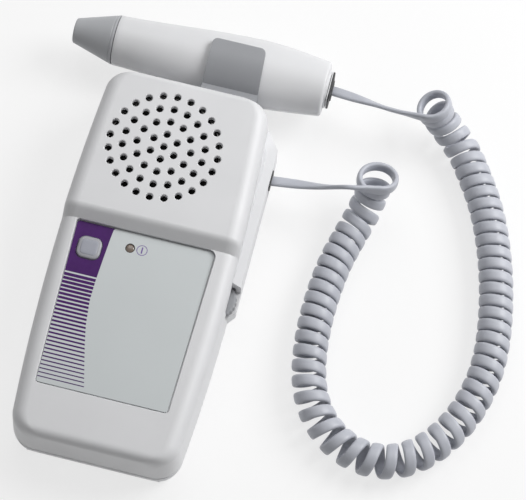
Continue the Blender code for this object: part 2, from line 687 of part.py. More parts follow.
def build_front_shell(white, housing):
    corner, across, down = END_CORNER_RADIUS, EDGE_ROUND_ACROSS, EDGE_ROUND_DOWN
    outside = [
        front_section(y, 0.0, corner, PARTING_HEIGHT, front_height(y), across, down)
        for y in stations(0.0, corner)
    ]
    shell = solid("front_shell", loft(outside), white, housing)

    def inside_height(y):
        raised = (front_height(y - SHELL_WALL) - LOWER_FRONT_HEIGHT) / STEP_HEIGHT
        return CEILING + max(raised, 0.0) * (RAISED_CEILING - CEILING)

    inner_corner = END_CORNER_RADIUS - SHELL_WALL
    across, down = EDGE_ROUND_ACROSS - SHELL_WALL / 2, EDGE_ROUND_DOWN - SHELL_WALL / 2
    foot = PARTING_HEIGHT - OVERRUN
    inside = [
        front_section(y, SHELL_WALL, inner_corner, foot, inside_height(y), across, down)
        for y in stations(SHELL_WALL, inner_corner)
    ]
    rail_part = rail(PARTING_HEIGHT, RAIL_TOP, 0.0, RAIL_TOP_CHAMFER)
    combine(shell, tool("rail_addition", rail_part, housing), "UNION")
    combine(shell, tool("front_cavity", loft(inside), housing), "DIFFERENCE")

    bosses = []
    for at in CASE_SCREW_PLACES:
        ceiling = RAISED_CEILING if at[1] > SPEAKER_Y else CEILING
        bosses.append(rod(CASE_POST_RADIUS, PARTING_HEIGHT, ceiling + SHELL_WALL / 2, at=at))
    for at in BOARD_SCREW_PLACES:
        bosses.append(rod(BOARD_BOSS_RADIUS, BOARD_TOP + GAP, CEILING + SHELL_WALL / 2, at=at))
    wall_inside = LENGTH_HALF - SHELL_WALL
    for x in CLIP_SCREW_XS:
        along = rod(CLIP_BOSS_RADIUS, wall_inside - CLIP_BOSS_DEPTH, wall_inside + SHELL_WALL / 2)
        bosses.append(moved(swapped(along, (0, 2, 1)), (x, 0, PROBE_Z)))
    combine(shell, tool("front_bosses", together(*bosses), housing), "UNION")

    holes = [speaker_holes(), prism(label_outline(0.0), LABEL_FLOOR, FRONT_HEIGHT - GAP)]
    combine(shell, tool("front_holes", together(*holes), housing), "DIFFERENCE")

    button_hole = rounded_rectangle(BUTTON_WIDTH + 2 * GAP, BUTTON_LENGTH + 2 * GAP, BUTTON_CORNER + GAP)
    low, high = CEILING - OVERRUN, LABEL_FLOOR + OVERRUN
    drilled = [moved(prism(button_hole, low, high), (BUTTON_X, BUTTON_Y, 0))]
    drilled.append(rod(LED_RADIUS + GAP, low, high, at=(LED_X, LED_Y)))
    screw_hole = CASE_SHAFT_RADIUS + GAP
    low, top = PARTING_HEIGHT - OVERRUN, CASE_HEAD_DEPTH + CASE_HEAD_HEIGHT + CASE_SCREW_LENGTH + OVERRUN
    drilled += [rod(screw_hole, low, top, SCREW_SIDES, at) for at in CASE_SCREW_PLACES]
    screw_hole = BOARD_SHAFT_RADIUS + GAP
    top = BOARD_TOP + BOARD_SCREW_BITE + GAP
    drilled += [rod(screw_hole, BOARD_TOP - OVERRUN, top, SCREW_SIDES, at) for at in BOARD_SCREW_PLACES]
    start = wall_inside - CLIP_BOSS_DEPTH - OVERRUN
    for x in CLIP_SCREW_XS:
        along = rod(CLIP_SHAFT_RADIUS + GAP, start, LENGTH_HALF + OVERRUN, SCREW_SIDES)
        drilled.append(moved(swapped(along, (0, 2, 1)), (x, 0, PROBE_Z)))
    reach = WIDTH_HALF + RAIL_REACH + OVERRUN
    root = half_width(SOCKET_Y) - RAIL_ROOT - SHELL_WALL
    half_socket, half_rise = SOCKET_WIDTH / 2 + GAP, SOCKET_HEIGHT / 2 + GAP
    drilled.append(
        block(
            (root, SOCKET_Y - half_socket, SOCKET_Z - half_rise),
            (reach, SOCKET_Y + half_socket, SOCKET_Z + half_rise),
        )
    )
    plate = prism(socket_plate(UNIT_PLATE_WIDTH + 2 * GAP, UNIT_PLATE_HEIGHT + 2 * GAP), SOCKET_X, reach)
    plate = moved(swapped(plate, (2, 0, 1)), (0, SOCKET_Y, SOCKET_Z))
    combine(shell, tool("socket_plate_recess", plate, housing), "DIFFERENCE")
    slot_radius = WHEEL_RADIUS + WHEEL_SLOT_MARGIN
    slot_floor, slot_top = WHEEL_FLOOR - WHEEL_SLOT_MARGIN, WHEEL_TOP + WHEEL_SLOT_MARGIN
    drilled.append(rod(slot_radius, slot_floor, slot_top, 2 * BOSS_SIDES, (WHEEL_X, WHEEL_Y)))
    combine(shell, tool("front_drills", together(*drilled), housing), "DIFFERENCE")
    notch_half = math.sqrt(slot_radius**2 - (WIDTH_HALF - WHEEL_X) ** 2)
    notch = block(
        (WIDTH_HALF + GAP / 2, WHEEL_Y - notch_half, slot_floor),
        (reach, WHEEL_Y + notch_half, RAIL_TOP + OVERRUN),
    )
    combine(shell, tool("wheel_notch", notch, housing), "DIFFERENCE")


def build_rear_shell(white, housing):
    brim, corner = REAR_BRIM, END_CORNER_RADIUS
    outside = [rear_section(y, 0.0, corner, 0.0, brim, REAR_TAPER) for y in stations(0.0, corner)]
    shell = solid("rear_shell", loft(outside), white, housing)
    inner_corner = END_CORNER_RADIUS - SHELL_WALL
    inside = [
        rear_section(y, SHELL_WALL, inner_corner, SHELL_WALL, brim + OVERRUN, REAR_TAPER / 2)
        for y in stations(SHELL_WALL, inner_corner)
    ]
    combine(shell, tool("rear_rail", rail(RAIL_FOOT, brim, RAIL_FOOT_CHAMFER, 0.0), housing), "UNION")
    combine(shell, tool("rear_cavity", loft(inside), housing), "DIFFERENCE")

    well_width = 2 * (WELL_HALF_WIDTH + WELL_SIDE_WALL)
    well = rounded_rectangle(well_width, WELL_LENGTH + 2 * WELL_WALL, WELL_CORNER)
    well = prism(well, SHELL_WALL / 2, WELL_CEILING + WELL_WALL)
    well = moved(well, (0, (WELL_LOWER_Y + WELL_UPPER_Y) / 2, 0))
    combine(shell, tool("battery_well", well, housing), "UNION")
    posts = [rod(CASE_POST_RADIUS, SHELL_WALL / 2, brim, at=at) for at in CASE_SCREW_PLACES]
    combine(shell, tool("rear_posts", together(*posts), housing), "UNION")

    pocket = block(
        (-WELL_HALF_WIDTH, WELL_LOWER_Y, -OVERRUN),
        (WELL_HALF_WIDTH, WELL_UPPER_Y, WELL_CEILING),
    )
    combine(shell, tool("battery_pocket", pocket, housing), "DIFFERENCE")
    door_end = -LENGTH_HALF - OVERRUN
    half = DOOR_HALF_WIDTH + GAP
    upper = WELL_UPPER_Y + DOOR_OVERLAP + GAP
    recess = block((-half, door_end, -OVERRUN), (half, upper, DOOR_THICKNESS + GAP))
    combine(shell, tool("door_recess", recess, housing), "DIFFERENCE")
    half += DOOR_TONGUE
    groove = block(
        (-half, door_end - OVERRUN, DOOR_TONGUE_FLOOR - GAP),
        (half, upper, DOOR_TONGUE_FLOOR + DOOR_TONGUE_HEIGHT + GAP),
    )
    combine(shell, tool("door_groove", groove, housing), "DIFFERENCE")
    seat = CASE_HEAD_DEPTH + CASE_HEAD_HEIGHT + GAP
    drilled = [rod(CASE_HEAD_RADIUS + GAP, -OVERRUN, seat, SCREW_SIDES, at) for at in CASE_SCREW_PLACES]
    combine(shell, tool("head_drills", together(*drilled), housing), "DIFFERENCE")
    low, high = seat - OVERRUN, brim + OVERRUN
    drilled = [rod(CASE_SHAFT_RADIUS + GAP, low, high, SCREW_SIDES, at) for at in CASE_SCREW_PLACES]
    combine(shell, tool("shaft_drills", together(*drilled), housing), "DIFFERENCE")


def build_battery_door(white, housing):
    """A plate that slides off over the bottom end, with a tongue along each side."""
    upper = WELL_UPPER_Y + DOOR_OVERLAP

    def end_at(z):
        """The tapered end's place along Y, level with the rear shell's."""
        drop = 1 - z / REAR_SHOULDER
        return REAR_TAPER * (1 - math.sqrt(1 - drop**2)) - LENGTH_HALF

    side = [(upper, 0.0), (upper, DOOR_THICKNESS)]
    side += [(end_at(z), z) for z in (DOOR_THICKNESS, DOOR_THICKNESS / 2, 0.0)]
    plate = loft([[(x, y, z) for y, z in side] for x in (-DOOR_HALF_WIDTH, DOOR_HALF_WIDTH)])
    plate = moved(plate, (0, -WELL_LOWER_Y, 0))
    door = solid("battery_door", plate, white, housing, (0, WELL_LOWER_Y, 0))
    half = DOOR_HALF_WIDTH + DOOR_TONGUE - GAP
    tongue = block(
        (-half, WELL_LOWER_Y, DOOR_TONGUE_FLOOR),
        (half, upper - GAP, DOOR_TONGUE_FLOOR + DOOR_TONGUE_HEIGHT),
    )
    combine(door, tool("door_tongue", tongue, housing), "UNION")
    grips, half = [], DOOR_GRIP_LENGTH / 2
    for i in range(DOOR_GRIP_COUNT):
        y = WELL_LOWER_Y + (i + 1) * DOOR_GRIP_PITCH
        grips.append(block((-half, y, -OVERRUN), (half, y + DOOR_GRIP_WIDTH, DOOR_GRIP_DEPTH)))
    combine(door, tool("door_grips", together(*grips), housing), "DIFFERENCE")


def screw(head_radius, head_height, shaft_radius, length):
    """A pan-head screw whose head is at its foot and whose shaft runs up from it."""
    tip = head_height + length
    profile = [(0, 0), (head_radius - GAP, 0), (head_radius, head_height / 2)]
    profile += [(head_radius, head_height), (shaft_radius, head_height), (shaft_radius, tip), (0, tip)]
    return turned(profile, SCREW_SIDES)


def build_screws(metal, housing):
    shape = screw(CASE_HEAD_RADIUS, CASE_HEAD_HEIGHT, CASE_SHAFT_RADIUS, CASE_SCREW_LENGTH)
    for i, (x, y) in enumerate(CASE_SCREW_PLACES):
        solid(f"case_screw_{i + 1}", shape, metal, housing, (x, y, CASE_HEAD_DEPTH))
    head = BOARD_FLOOR - GAP - BOARD_HEAD_HEIGHT
    length = BOARD_TOP + BOARD_SCREW_BITE - head - BOARD_HEAD_HEIGHT
    shape = screw(BOARD_HEAD_RADIUS, BOARD_HEAD_HEIGHT, BOARD_SHAFT_RADIUS, length)
    for i, (x, y) in enumerate(BOARD_SCREW_PLACES):
        solid(f"board_screw_{i + 1}", shape, metal, housing, (x, y, head))


def build_speaker(black, paper, steel, foam, housing):
    top, at = SPEAKER_TOP, (SPEAKER_X, SPEAKER_Y, SPEAKER_TOP)
    rim, inner = SPEAKER_RADIUS, SPEAKER_RADIUS - SPEAKER_FLANGE_WIDTH
    frame = [
        (inner, 0),
        (rim, 0),
        (rim, -SPEAKER_FLANGE),
        (inner + SPEAKER_SHEET, -SPEAKER_FLANGE),
        (inner + SPEAKER_SHEET, -SPEAKER_COLLAR),
        (SPEAKER_BACK_RADIUS + SPEAKER_SHEET, -SPEAKER_DEPTH),
        (SPEAKER_CENTRE_HOLE, -SPEAKER_DEPTH),
        (SPEAKER_CENTRE_HOLE, -SPEAKER_DEPTH + SPEAKER_SHEET),
        (SPEAKER_BACK_RADIUS, -SPEAKER_DEPTH + SPEAKER_SHEET),
        (inner, -SPEAKER_COLLAR),
    ]
    solid("speaker_frame", turned(frame, 28), steel, housing, at)
    edge = inner - GAP
    cone = [
        (0, -CONE_DEPTH + DUST_CAP_RISE),
        (CONE_NECK_RADIUS / 2, -CONE_DEPTH + DUST_CAP_RISE * 3 / 4),
        (CONE_NECK_RADIUS, -CONE_DEPTH),
        (edge, -CONE_SHEET),
        (edge, -2 * CONE_SHEET),
        (CONE_NECK_RADIUS, -CONE_DEPTH - 2 * CONE_SHEET),
        (0, -CONE_DEPTH - 2 * CONE_SHEET),
    ]
    solid("speaker_cone", turned(cone, 24), paper, housing, at)
    low = -SPEAKER_DEPTH - GAP - MAGNET_HEIGHT
    magnet = [
        (0, -SPEAKER_DEPTH - GAP),
        (MAGNET_RADIUS - MAGNET_CHAMFER, -SPEAKER_DEPTH - GAP),
        (MAGNET_RADIUS, -SPEAKER_DEPTH - GAP - MAGNET_CHAMFER),
        (MAGNET_RADIUS, low + MAGNET_CHAMFER),
        (MAGNET_RADIUS - MAGNET_CHAMFER, low),
        (0, low),
    ]
    solid("speaker_magnet", turned(magnet, 20), black, housing, at)
    ring = [(inner + GAP, 0), (rim - GAP, 0)]
    ring += [(r, GASKET_THICKNESS) for r, _ in reversed(ring)]
    at = (SPEAKER_X, SPEAKER_Y, top + GAP)
    solid("speaker_gasket", turned(ring, 28), foam, housing, at)


def build_front_fittings(print_paint, grey, clear, housing):
    floor = LABEL_FLOOR + LABEL_GLUE
    plate = prism(label_outline(LABEL_MARGIN), floor, floor + LABEL_THICKNESS)
    label = solid("label_overlay", plate, print_paint, housing)
    opening = rounded_rectangle(BUTTON_WIDTH + 2 * GAP, BUTTON_LENGTH + 2 * GAP, BUTTON_CORNER + GAP)
    cuts = [moved(prism(opening, floor - OVERRUN, floor + OVERRUN), (BUTTON_X, BUTTON_Y, 0))]
    cuts.append(rod(LED_RADIUS + GAP, floor - OVERRUN, floor + OVERRUN, at=(LED_X, LED_Y)))
    combine(label, tool("label_holes", together(*cuts), housing), "DIFFERENCE")

    top = floor + LABEL_THICKNESS + BUTTON_PROUD - BUTTON_FOOT
    flange, shoulder = BUTTON_FLANGE_HEIGHT, top - BUTTON_BEVEL_HEIGHT
    levels = [(0, -BUTTON_FLANGE), (flange, -BUTTON_FLANGE), (flange, 0), (shoulder, 0)]
    levels.append((top, BUTTON_BEVEL_WIDTH))
    rings = []
    for z, draw_in in levels:
        width, length = BUTTON_WIDTH - 2 * draw_in, BUTTON_LENGTH - 2 * draw_in
        rings.append([(x, y, z) for x, y in rounded_rectangle(width, length, BUTTON_CORNER - draw_in)])
    solid("power_button", loft(rings), grey, housing, (BUTTON_X, BUTTON_Y, BUTTON_FOOT))

    height = floor + LABEL_THICKNESS - BOARD_TOP - GAP
    lens = [(0, 0), (LED_FOOT_RADIUS, 0), (LED_FOOT_RADIUS, LED_FOOT_HEIGHT)]
    lens += [(LED_RADIUS, LED_FOOT_HEIGHT), (LED_RADIUS, height - LED_RADIUS / 3)]
    lens += [(LED_RADIUS * 3 / 5, height - GAP / 2), (0, height)]
    solid("power_led", turned(lens, 14), clear, housing, (LED_X, LED_Y, BOARD_TOP + GAP))


def build_board(green, black, housing):
    corners = [
        (BOARD_LEFT + BOARD_NARROWING, BOARD_LOWER_Y),
        (BOARD_RIGHT - BOARD_NARROWING, BOARD_LOWER_Y),
        (BOARD_RIGHT, BOARD_UPPER_Y),
        (BOARD_LEFT, BOARD_UPPER_Y),
    ]
    plate = prism(rounded(corners, [BOARD_CORNER] * 4), BOARD_FLOOR, BOARD_TOP)
    board = solid("circuit_board", plate, green, housing)
    low, high = BOARD_FLOOR - OVERRUN, BOARD_TOP + OVERRUN
    drills = [rod(BOARD_SHAFT_RADIUS + GAP, low, high, SCREW_SIDES, at) for at in BOARD_SCREW_PLACES]
    passing = [at for at in CASE_SCREW_PLACES if at[1] < BOARD_UPPER_Y]
    drills += [rod(CASE_POST_RADIUS + GAP, low, high, at=at) for at in passing]
    combine(board, tool("board_drills", together(*drills), housing), "DIFFERENCE")
    half = SWITCH_WIDTH / 2
    height = SWITCH_TOP - BOARD_TOP - GAP
    body = block((-half, -half, 0), (half, half, height * 3 / 4))
    plunger = rod(half / 2, 0, height)
    switch = solid("tact_switch", body, black, housing, (BUTTON_X, BUTTON_Y, BOARD_TOP + GAP))
    combine(switch, tool("switch_plunger", plunger, housing, switch.location), "UNION")
    chip = block((-CHIP_WIDTH / 2, -CHIP_LENGTH / 2, 0), (CHIP_WIDTH / 2, CHIP_LENGTH / 2, CHIP_HEIGHT))
    solid("signal_chip", chip, black, housing, (0, CHIP_Y, BOARD_TOP + GAP))


def build_volume_control(grey, metal, housing):
    """A thumbwheel that shows through the side, on the shaft of a potentiometer under the board."""
    rings = []
    middle = WHEEL_THICKNESS / 2
    upright = middle - WHEEL_EDGE
    for z, draw_in in ((-middle, WHEEL_EDGE), (-upright, 0), (upright, 0), (middle, WHEEL_EDGE)):
        ring = []
        for i in range(2 * WHEEL_TEETH):
            radius = WHEEL_RADIUS - draw_in - (WHEEL_TOOTH if i % 2 else 0)
            turn = math.tau * i / (2 * WHEEL_TEETH)
            ring.append((radius * math.cos(turn), radius * math.sin(turn), z))
        rings.append(ring)
    at = (WHEEL_X, WHEEL_Y, WHEEL_FLOOR + middle)
    wheel = solid("volume_wheel", loft(rings), grey, housing, at)
    bore = rod(POT_SHAFT_RADIUS + POT_CLEARANCE, -WHEEL_THICKNESS, WHEEL_THICKNESS)
    combine(wheel, tool("wheel_bore", bore, housing, at), "DIFFERENCE")

    half = POT_WIDTH / 2
    body = block((-half, -half, WHEEL_TOP + GAP), (half, half, POT_FLOOR))
    pot = solid("volume_pot", body, metal, housing, (WHEEL_X, WHEEL_Y, 0))
    shaft = rod(POT_SHAFT_RADIUS, WHEEL_FLOOR, POT_FLOOR - GAP)
    combine(pot, tool("pot_shaft", shaft, housing, (WHEEL_X, WHEEL_Y, 0)), "UNION")


def build_batteries(jacket, metal, housing):
    """Cells side by side, turned end for end in turn, each between a spring and a flat contact."""
    profile = [
        (0, 0),
        (CELL_RADIUS - CELL_EDGE, 0),
        (CELL_RADIUS, CELL_EDGE),
        (CELL_RADIUS, CELL_BODY - CELL_EDGE),
        (CELL_RADIUS - CELL_EDGE, CELL_BODY),
        (CELL_NUB_RADIUS, CELL_BODY),
        (CELL_NUB_RADIUS, CELL_LENGTH),
        (0, CELL_LENGTH),
    ]
    half = CONTACT_SIZE / 2
    for i in range(CELL_COUNT):
        x = (i - (CELL_COUNT - 1) / 2) * CELL_SPACING
        way = 1 if i % 2 == 0 else -1  # which way the nub points
        foot = WELL_LOWER_Y if way > 0 else WELL_UPPER_Y
        points, faces = turned(profile, CELL_SIDES)
        cell = [(px, way * pz, py) for px, py, pz in points], faces
        start = foot + way * (CONTACT_ROOM + SPRING_LENGTH)
        solid(f"battery_cell_{i + 1}", cell, jacket, housing, (x, start, CELL_AXIS_Z))

        near, far = GAP, GAP + CONTACT_THICKNESS
        square = [(-half, -half), (half, -half), (half, half), (-half, half)]
        plate = [(px, way * y, pz) for y in (near, far) for px, pz in square]
        cone = [
            (0, near),
            (SPRING_ROOT_RADIUS, near),
            (SPRING_ROOT_RADIUS, far + GAP),
            (SPRING_TIP_RADIUS, far + SPRING_LENGTH),
            (0, far + SPRING_LENGTH),
        ]
        points, faces = turned(cone, CELL_SIDES)
        coil = [(px, way * pz, py) for px, py, pz in points], faces
        at = (x, foot, CELL_AXIS_Z)
        spring = solid(f"battery_spring_{i + 1}", loft([plate[:4], plate[4:]]), metal, housing, at)
        combine(spring, tool(f"spring_cone_{i + 1}", coil, housing, at), "UNION")
        other = WELL_UPPER_Y if way > 0 else WELL_LOWER_Y
        flat = [(px, -py, pz) for px, py, pz in plate]
        flat = loft([flat[:4], flat[4:]])
        solid(f"battery_contact_{i + 1}", flat, metal, housing, (x, other, CELL_AXIS_Z))


def socket_plate(width, height):
    """Outline of a socket's plate, in Y and Z."""
    return rounded_rectangle(width, height, PLATE_CORNER)


def build_socket(name, plug_name, plate, paints, parent, at):
    """A plate and socket that face +X, with the cord's plug pushed in to its shoulder."""
    front = swapped(prism(plate, GAP, GAP + PLATE_THICKNESS), (2, 0, 1))
    socket = solid(name, front, paints[0], parent, at)
    body = block(
        (GAP - SOCKET_DEPTH, -SOCKET_WIDTH / 2, -SOCKET_HEIGHT / 2),
        (GAP + PLATE_THICKNESS / 2, SOCKET_WIDTH / 2, SOCKET_HEIGHT / 2),
    )
    combine(socket, tool(name + "_body", body, parent, at), "UNION")
    face = GAP + PLATE_THICKNESS
    pocket = block(
        (face - PLUG_DEPTH - GAP, -PLUG_WIDTH / 2 - GAP, -PLUG_HEIGHT / 2 - GAP),
        (face + OVERRUN, PLUG_WIDTH / 2 + GAP, PLUG_HEIGHT / 2 + GAP),
    )
    combine(socket, tool(name + "_pocket", pocket, parent, at), "DIFFERENCE")
    plug = block(
        (face - PLUG_DEPTH, -PLUG_WIDTH / 2, -PLUG_HEIGHT / 2),
        (face + PLUG_PROUD, PLUG_WIDTH / 2, PLUG_HEIGHT / 2),
    )
    solid(plug_name, plug, paints[1], parent, at)
    return face + PLUG_PROUD


# Probe


def probe_half_sizes(along):
    """Half the probe's width and height at a distance from the tip's face."""
    knots = [TIP_LENGTH, PROBE_WIDEST_AT, PROBE_LENGTH]
    swell = math.sin(math.pi / 2 * min(1.0, max(0.0, (along - knots[0]) / (knots[1] - knots[0]))))
    width = PROBE_NECK_HALF_WIDTH + (PROBE_WIDEST_HALF_WIDTH - PROBE_NECK_HALF_WIDTH) * swell**1.6
    height = PROBE_NECK_HALF_WIDTH + (PROBE_WIDEST_HALF_HEIGHT - PROBE_NECK_HALF_WIDTH) * swell
    if along > knots[1]:
        share = ((along - knots[1]) / (knots[2] - knots[1])) ** 1.3
        width -= (PROBE_WIDEST_HALF_WIDTH - PROBE_TAIL_HALF_WIDTH) * share
        height -= (PROBE_WIDEST_HALF_HEIGHT - PROBE_TAIL_HALF_HEIGHT) * share
    return width, height


def probe_section(along, inset, more=0.0):
    width, height = probe_half_sizes(along)
    ring = []
    for i in range(PROBE_SIDES):
        turn = math.tau * (i + 0.5) / PROBE_SIDES
        y = (width - inset - more) * math.cos(turn)
        ring.append((along, y, (height - inset - more) * math.sin(turn)))
    return ring


def build_probe(white, grey, window_paint, ceramic, green, parent):
    start, tail = TIP_LENGTH + GAP, PROBE_LENGTH
    places = [*np.linspace(start, PROBE_WIDEST_AT, PROBE_STATIONS)]
    places += [*np.linspace(PROBE_WIDEST_AT, tail - PROBE_TAIL_ROUND, PROBE_STATIONS // 2 + 1)[1:]]
    rings = [probe_section(float(x), 0.0) for x in places]
    rings += [probe_section(tail - PROBE_TAIL_ROUND / 3, 0.0, PROBE_TAIL_ROUND / 3)]
    rings += [probe_section(tail, 0.0, PROBE_TAIL_ROUND), probe_section(tail, PROBE_NECK_INSET)]
    neck = [(x + PROBE_NECK_LENGTH, y, z) for x, y, z in rings[-1]]
    rings += [neck]
    places = [start - OVERRUN, *np.linspace(start, PROBE_WIDEST_AT, PROBE_STATIONS // 2 + 1)]
    places += [tail - PROBE_WALL]
    hollow = loft([probe_section(float(x), PROBE_WALL) for x in places])
    reach = 2 * PROBE_WIDEST_HALF_WIDTH
    board_floor = -PROBE_BOARD_THICKNESS / 2
    bore = block(
        (tail - PROBE_WALL - OVERRUN, -SOCKET_WIDTH / 2 - GAP, -SOCKET_HEIGHT / 2 - GAP),
        (tail + PROBE_NECK_LENGTH + OVERRUN, SOCKET_WIDTH / 2 + GAP, SOCKET_HEIGHT / 2 + GAP),
    )
    cavity = tool("probe_cavity", hollow, parent)
    tail_hole = tool("probe_tail_hole", bore, parent)
    for name, side in (("probe_upper_shell", 1), ("probe_lower_shell", -1)):
        shell = solid(name, loft(rings), white, parent)
        heights = sorted((side * PROBE_SPLIT, -side * reach))
        half = block((-reach, -reach, heights[0]), (tail + reach, reach, heights[1]))
        combine(shell, cavity, "DIFFERENCE")
        if side < 0:
            posts = []
            for share in PROBE_POST_SHARES:
                x = PROBE_BOARD_START + PROBE_BOARD_LENGTH * share
                wall = -probe_half_sizes(x)[1] + PROBE_WALL / 2
                posts.append(rod(PROBE_POST_RADIUS, wall, board_floor - GAP, at=(x, 0)))
            combine(shell, tool("probe_posts", together(*posts), parent), "UNION")
        combine(shell, tool(name + "_other_half", half, parent), "DIFFERENCE")
        combine(shell, tail_hole, "DIFFERENCE")

    face = TIP_FACE_RADIUS
    inner = WINDOW_RADIUS + GAP
    back = TIP_LENGTH + TIP_SPIGOT
    spigot = PROBE_NECK_HALF_WIDTH - PROBE_WALL - GAP
    bore_end = GAP + WINDOW_THICKNESS + GAP + CRYSTAL_THICKNESS + GAP + BACKING_LENGTH
    tip = [
        (inner, 0),
        (face - TIP_ROUND, 0),
        (face - TIP_ROUND / 3, TIP_ROUND / 3),
        (face, TIP_ROUND),
        (PROBE_NECK_HALF_WIDTH, TIP_LENGTH),
        (spigot, TIP_LENGTH),
        (spigot, back),
        (spigot - TIP_WALL, back),
        (inner + TIP_WALL, bore_end + GAP),
        (inner, bore_end),
    ]
    solid("probe_tip", swapped(turned(tip, 24), (2, 0, 1)), grey, parent)
    window = [(0, 0), (WINDOW_RADIUS, 0), (WINDOW_RADIUS, WINDOW_THICKNESS), (0, WINDOW_THICKNESS)]
    solid("probe_window", swapped(turned(window, 20), (2, 0, 1)), window_paint, parent)
    crystal_at = WINDOW_THICKNESS + GAP
    narrowed = CRYSTAL_RADIUS / (CRYSTAL_RADIUS + CRYSTAL_SPLIT / 2)
    turns = [math.pi * i / 8 for i in range(9)]
    for name, side in (("transmit_crystal", 1), ("receive_crystal", -1)):
        half_disc = []
        for turn in turns:
            x = CRYSTAL_SPLIT / 2 + CRYSTAL_RADIUS * math.sin(turn)
            half_disc.append((side * x * narrowed, -CRYSTAL_RADIUS * math.cos(turn)))
        disc = swapped(prism(half_disc, crystal_at, crystal_at + CRYSTAL_THICKNESS), (2, 0, 1))
        solid(name, disc, ceramic, parent)
    low = crystal_at + CRYSTAL_THICKNESS + GAP
    backing = rod(WINDOW_RADIUS, low, low + BACKING_LENGTH)
    solid("crystal_backing", swapped(backing, (2, 0, 1)), grey, parent)
    board = block(
        (PROBE_BOARD_START, -PROBE_BOARD_WIDTH / 2, board_floor),
        (PROBE_BOARD_START + PROBE_BOARD_LENGTH, PROBE_BOARD_WIDTH / 2, -board_floor),
    )
    solid("probe_board", board, green, parent)


def build_clip(grey, metal, housing):
    """The holder on the top end: a C that opens away from the housing."""
    fits = [probe_half_sizes(x - PROBE_X) for x in np.linspace(CLIP_LEFT, CLIP_RIGHT, 5)]
    half_width_inside = max(w for w, _ in fits) + GAP
    half_height_inside = max(h for _, h in fits) + GAP
    base = LENGTH_HALF + GAP - PROBE_Y
    turns = [math.pi / 2 - math.pi * i / 10 for i in range(11)]

    def section(x, arm):
        inner = [(arm, half_height_inside)]
        inner += [(-half_width_inside * math.cos(t), half_height_inside * math.sin(t)) for t in turns]
        inner += [(arm, -half_height_inside)]
        wide, high = half_width_inside + CLIP_THICKNESS, half_height_inside + CLIP_THICKNESS
        bow = [(-wide * math.cos(t), high * math.sin(t)) for t in turns[:4]]
        pad = [(base + CLIP_PAD_DEPTH, CLIP_PAD_HALF_HEIGHT + GAP), (base, CLIP_PAD_HALF_HEIGHT)]
        outer = [(arm - CLIP_THICKNESS / 3, high), *bow, *pad]
        outer = [(arm, high - CLIP_THICKNESS / 3), *outer]
        lower = [(y, -z) for y, z in reversed(outer)]
        return [(x, y, z) for y, z in [*outer, *lower, *reversed(inner)]]

    def arm_at(share_in):
        """The arm's reach at a distance in from the clip's side, round its corner."""
        return CLIP_ARM - rounding(share_in, CLIP_CORNER)

    rings = [section(CLIP_LEFT + d, arm_at(d)) for d in (0.0, CLIP_CORNER / 4, CLIP_CORNER)]
    for d in (CLIP_CORNER, CLIP_CORNER / 4, 0.0):
        ring = section(CLIP_RIGHT - d, arm_at(d))
        spread = CLIP_FLARE / (CLIP_ARM - base)
        rings.append([(x + spread * (CLIP_ARM - y), y, z) for x, y, z in ring])
    at = (0, PROBE_Y, PROBE_Z)
    clip = solid("probe_clip", loft(rings), grey, housing, at)
    seat = -half_width_inside + GAP - CLIP_HEAD_HEIGHT - GAP
    drills, sinks = [], []
    for x in CLIP_SCREW_XS:
        through = rod(CLIP_SHAFT_RADIUS + GAP, base - OVERRUN, seat + OVERRUN, SCREW_SIDES)
        drills.append(moved(swapped(through, (0, 2, 1)), (x, 0, 0)))
        sink = rod(CLIP_HEAD_RADIUS + GAP, seat, -half_width_inside + OVERRUN, SCREW_SIDES)
        sinks.append(moved(swapped(sink, (0, 2, 1)), (x, 0, 0)))
    combine(clip, tool("clip_sinks", together(*sinks), housing, at), "DIFFERENCE")
    combine(clip, tool("clip_drills", together(*drills), housing, at), "DIFFERENCE")
    length = seat + GAP - base - GAP + CLIP_SCREW_BITE
    for i, x in enumerate(CLIP_SCREW_XS):
        tip = -CLIP_HEAD_HEIGHT - length
        profile = [(0, 0), (CLIP_HEAD_RADIUS, 0), (CLIP_HEAD_RADIUS, -CLIP_HEAD_HEIGHT)]
        profile += [(CLIP_SHAFT_RADIUS, -CLIP_HEAD_HEIGHT), (CLIP_SHAFT_RADIUS, tip), (0, tip)]
        shape = swapped(turned(profile, SCREW_SIDES), (0, 2, 1))
        place = (x, PROBE_Y + seat + GAP + CLIP_HEAD_HEIGHT, PROBE_Z)
        solid(f"clip_screw_{i + 1}", shape, metal, housing, place)


# Cord


def smooth_route(route, step):
    """Points about step apart on a uniform cubic B-spline that starts and ends on the route."""
    knots = [Vector(p) for p in route]
    knots = [2 * knots[0] - knots[1], *knots, 2 * knots[-1] - knots[-2]]
    fine = []
    for i in range(len(knots) - 3):
        a, b, c, d = knots[i : i + 4]
        pieces = 24
        for k in range(pieces + (i == len(knots) - 4)):
            t = k / pieces
            near_b, near_c = 3 * t**3 - 6 * t**2 + 4, -3 * t**3 + 3 * t**2 + 3 * t + 1
            fine.append(tuple((a * (1 - t) ** 3 + b * near_b + c * near_c + d * t**3) / 6))
    fine = np.array(fine)
    along = np.concatenate([[0.0], np.cumsum(np.linalg.norm(np.diff(fine, axis=0), axis=1))])
    at = np.linspace(0, along[-1], max(2, math.ceil(along[-1] / step) + 1))
    return np.stack([np.interp(at, along, fine[:, k]) for k in range(3)], axis=1)


def unit(v):
    return v / np.linalg.norm(v, axis=-1, keepdims=True)


def carried_frames(line):
    """Tangents, and a sideways direction carried along the line without twist."""
    ahead = unit(np.gradient(line, axis=0))
    side = [unit(np.array([1.0, 0.0, 0.0]) - ahead[0] * ahead[0][0])]
    for t in ahead[1:]:
        side.append(unit(side[-1] - t * (side[-1] @ t)))
    return ahead, np.array(side)


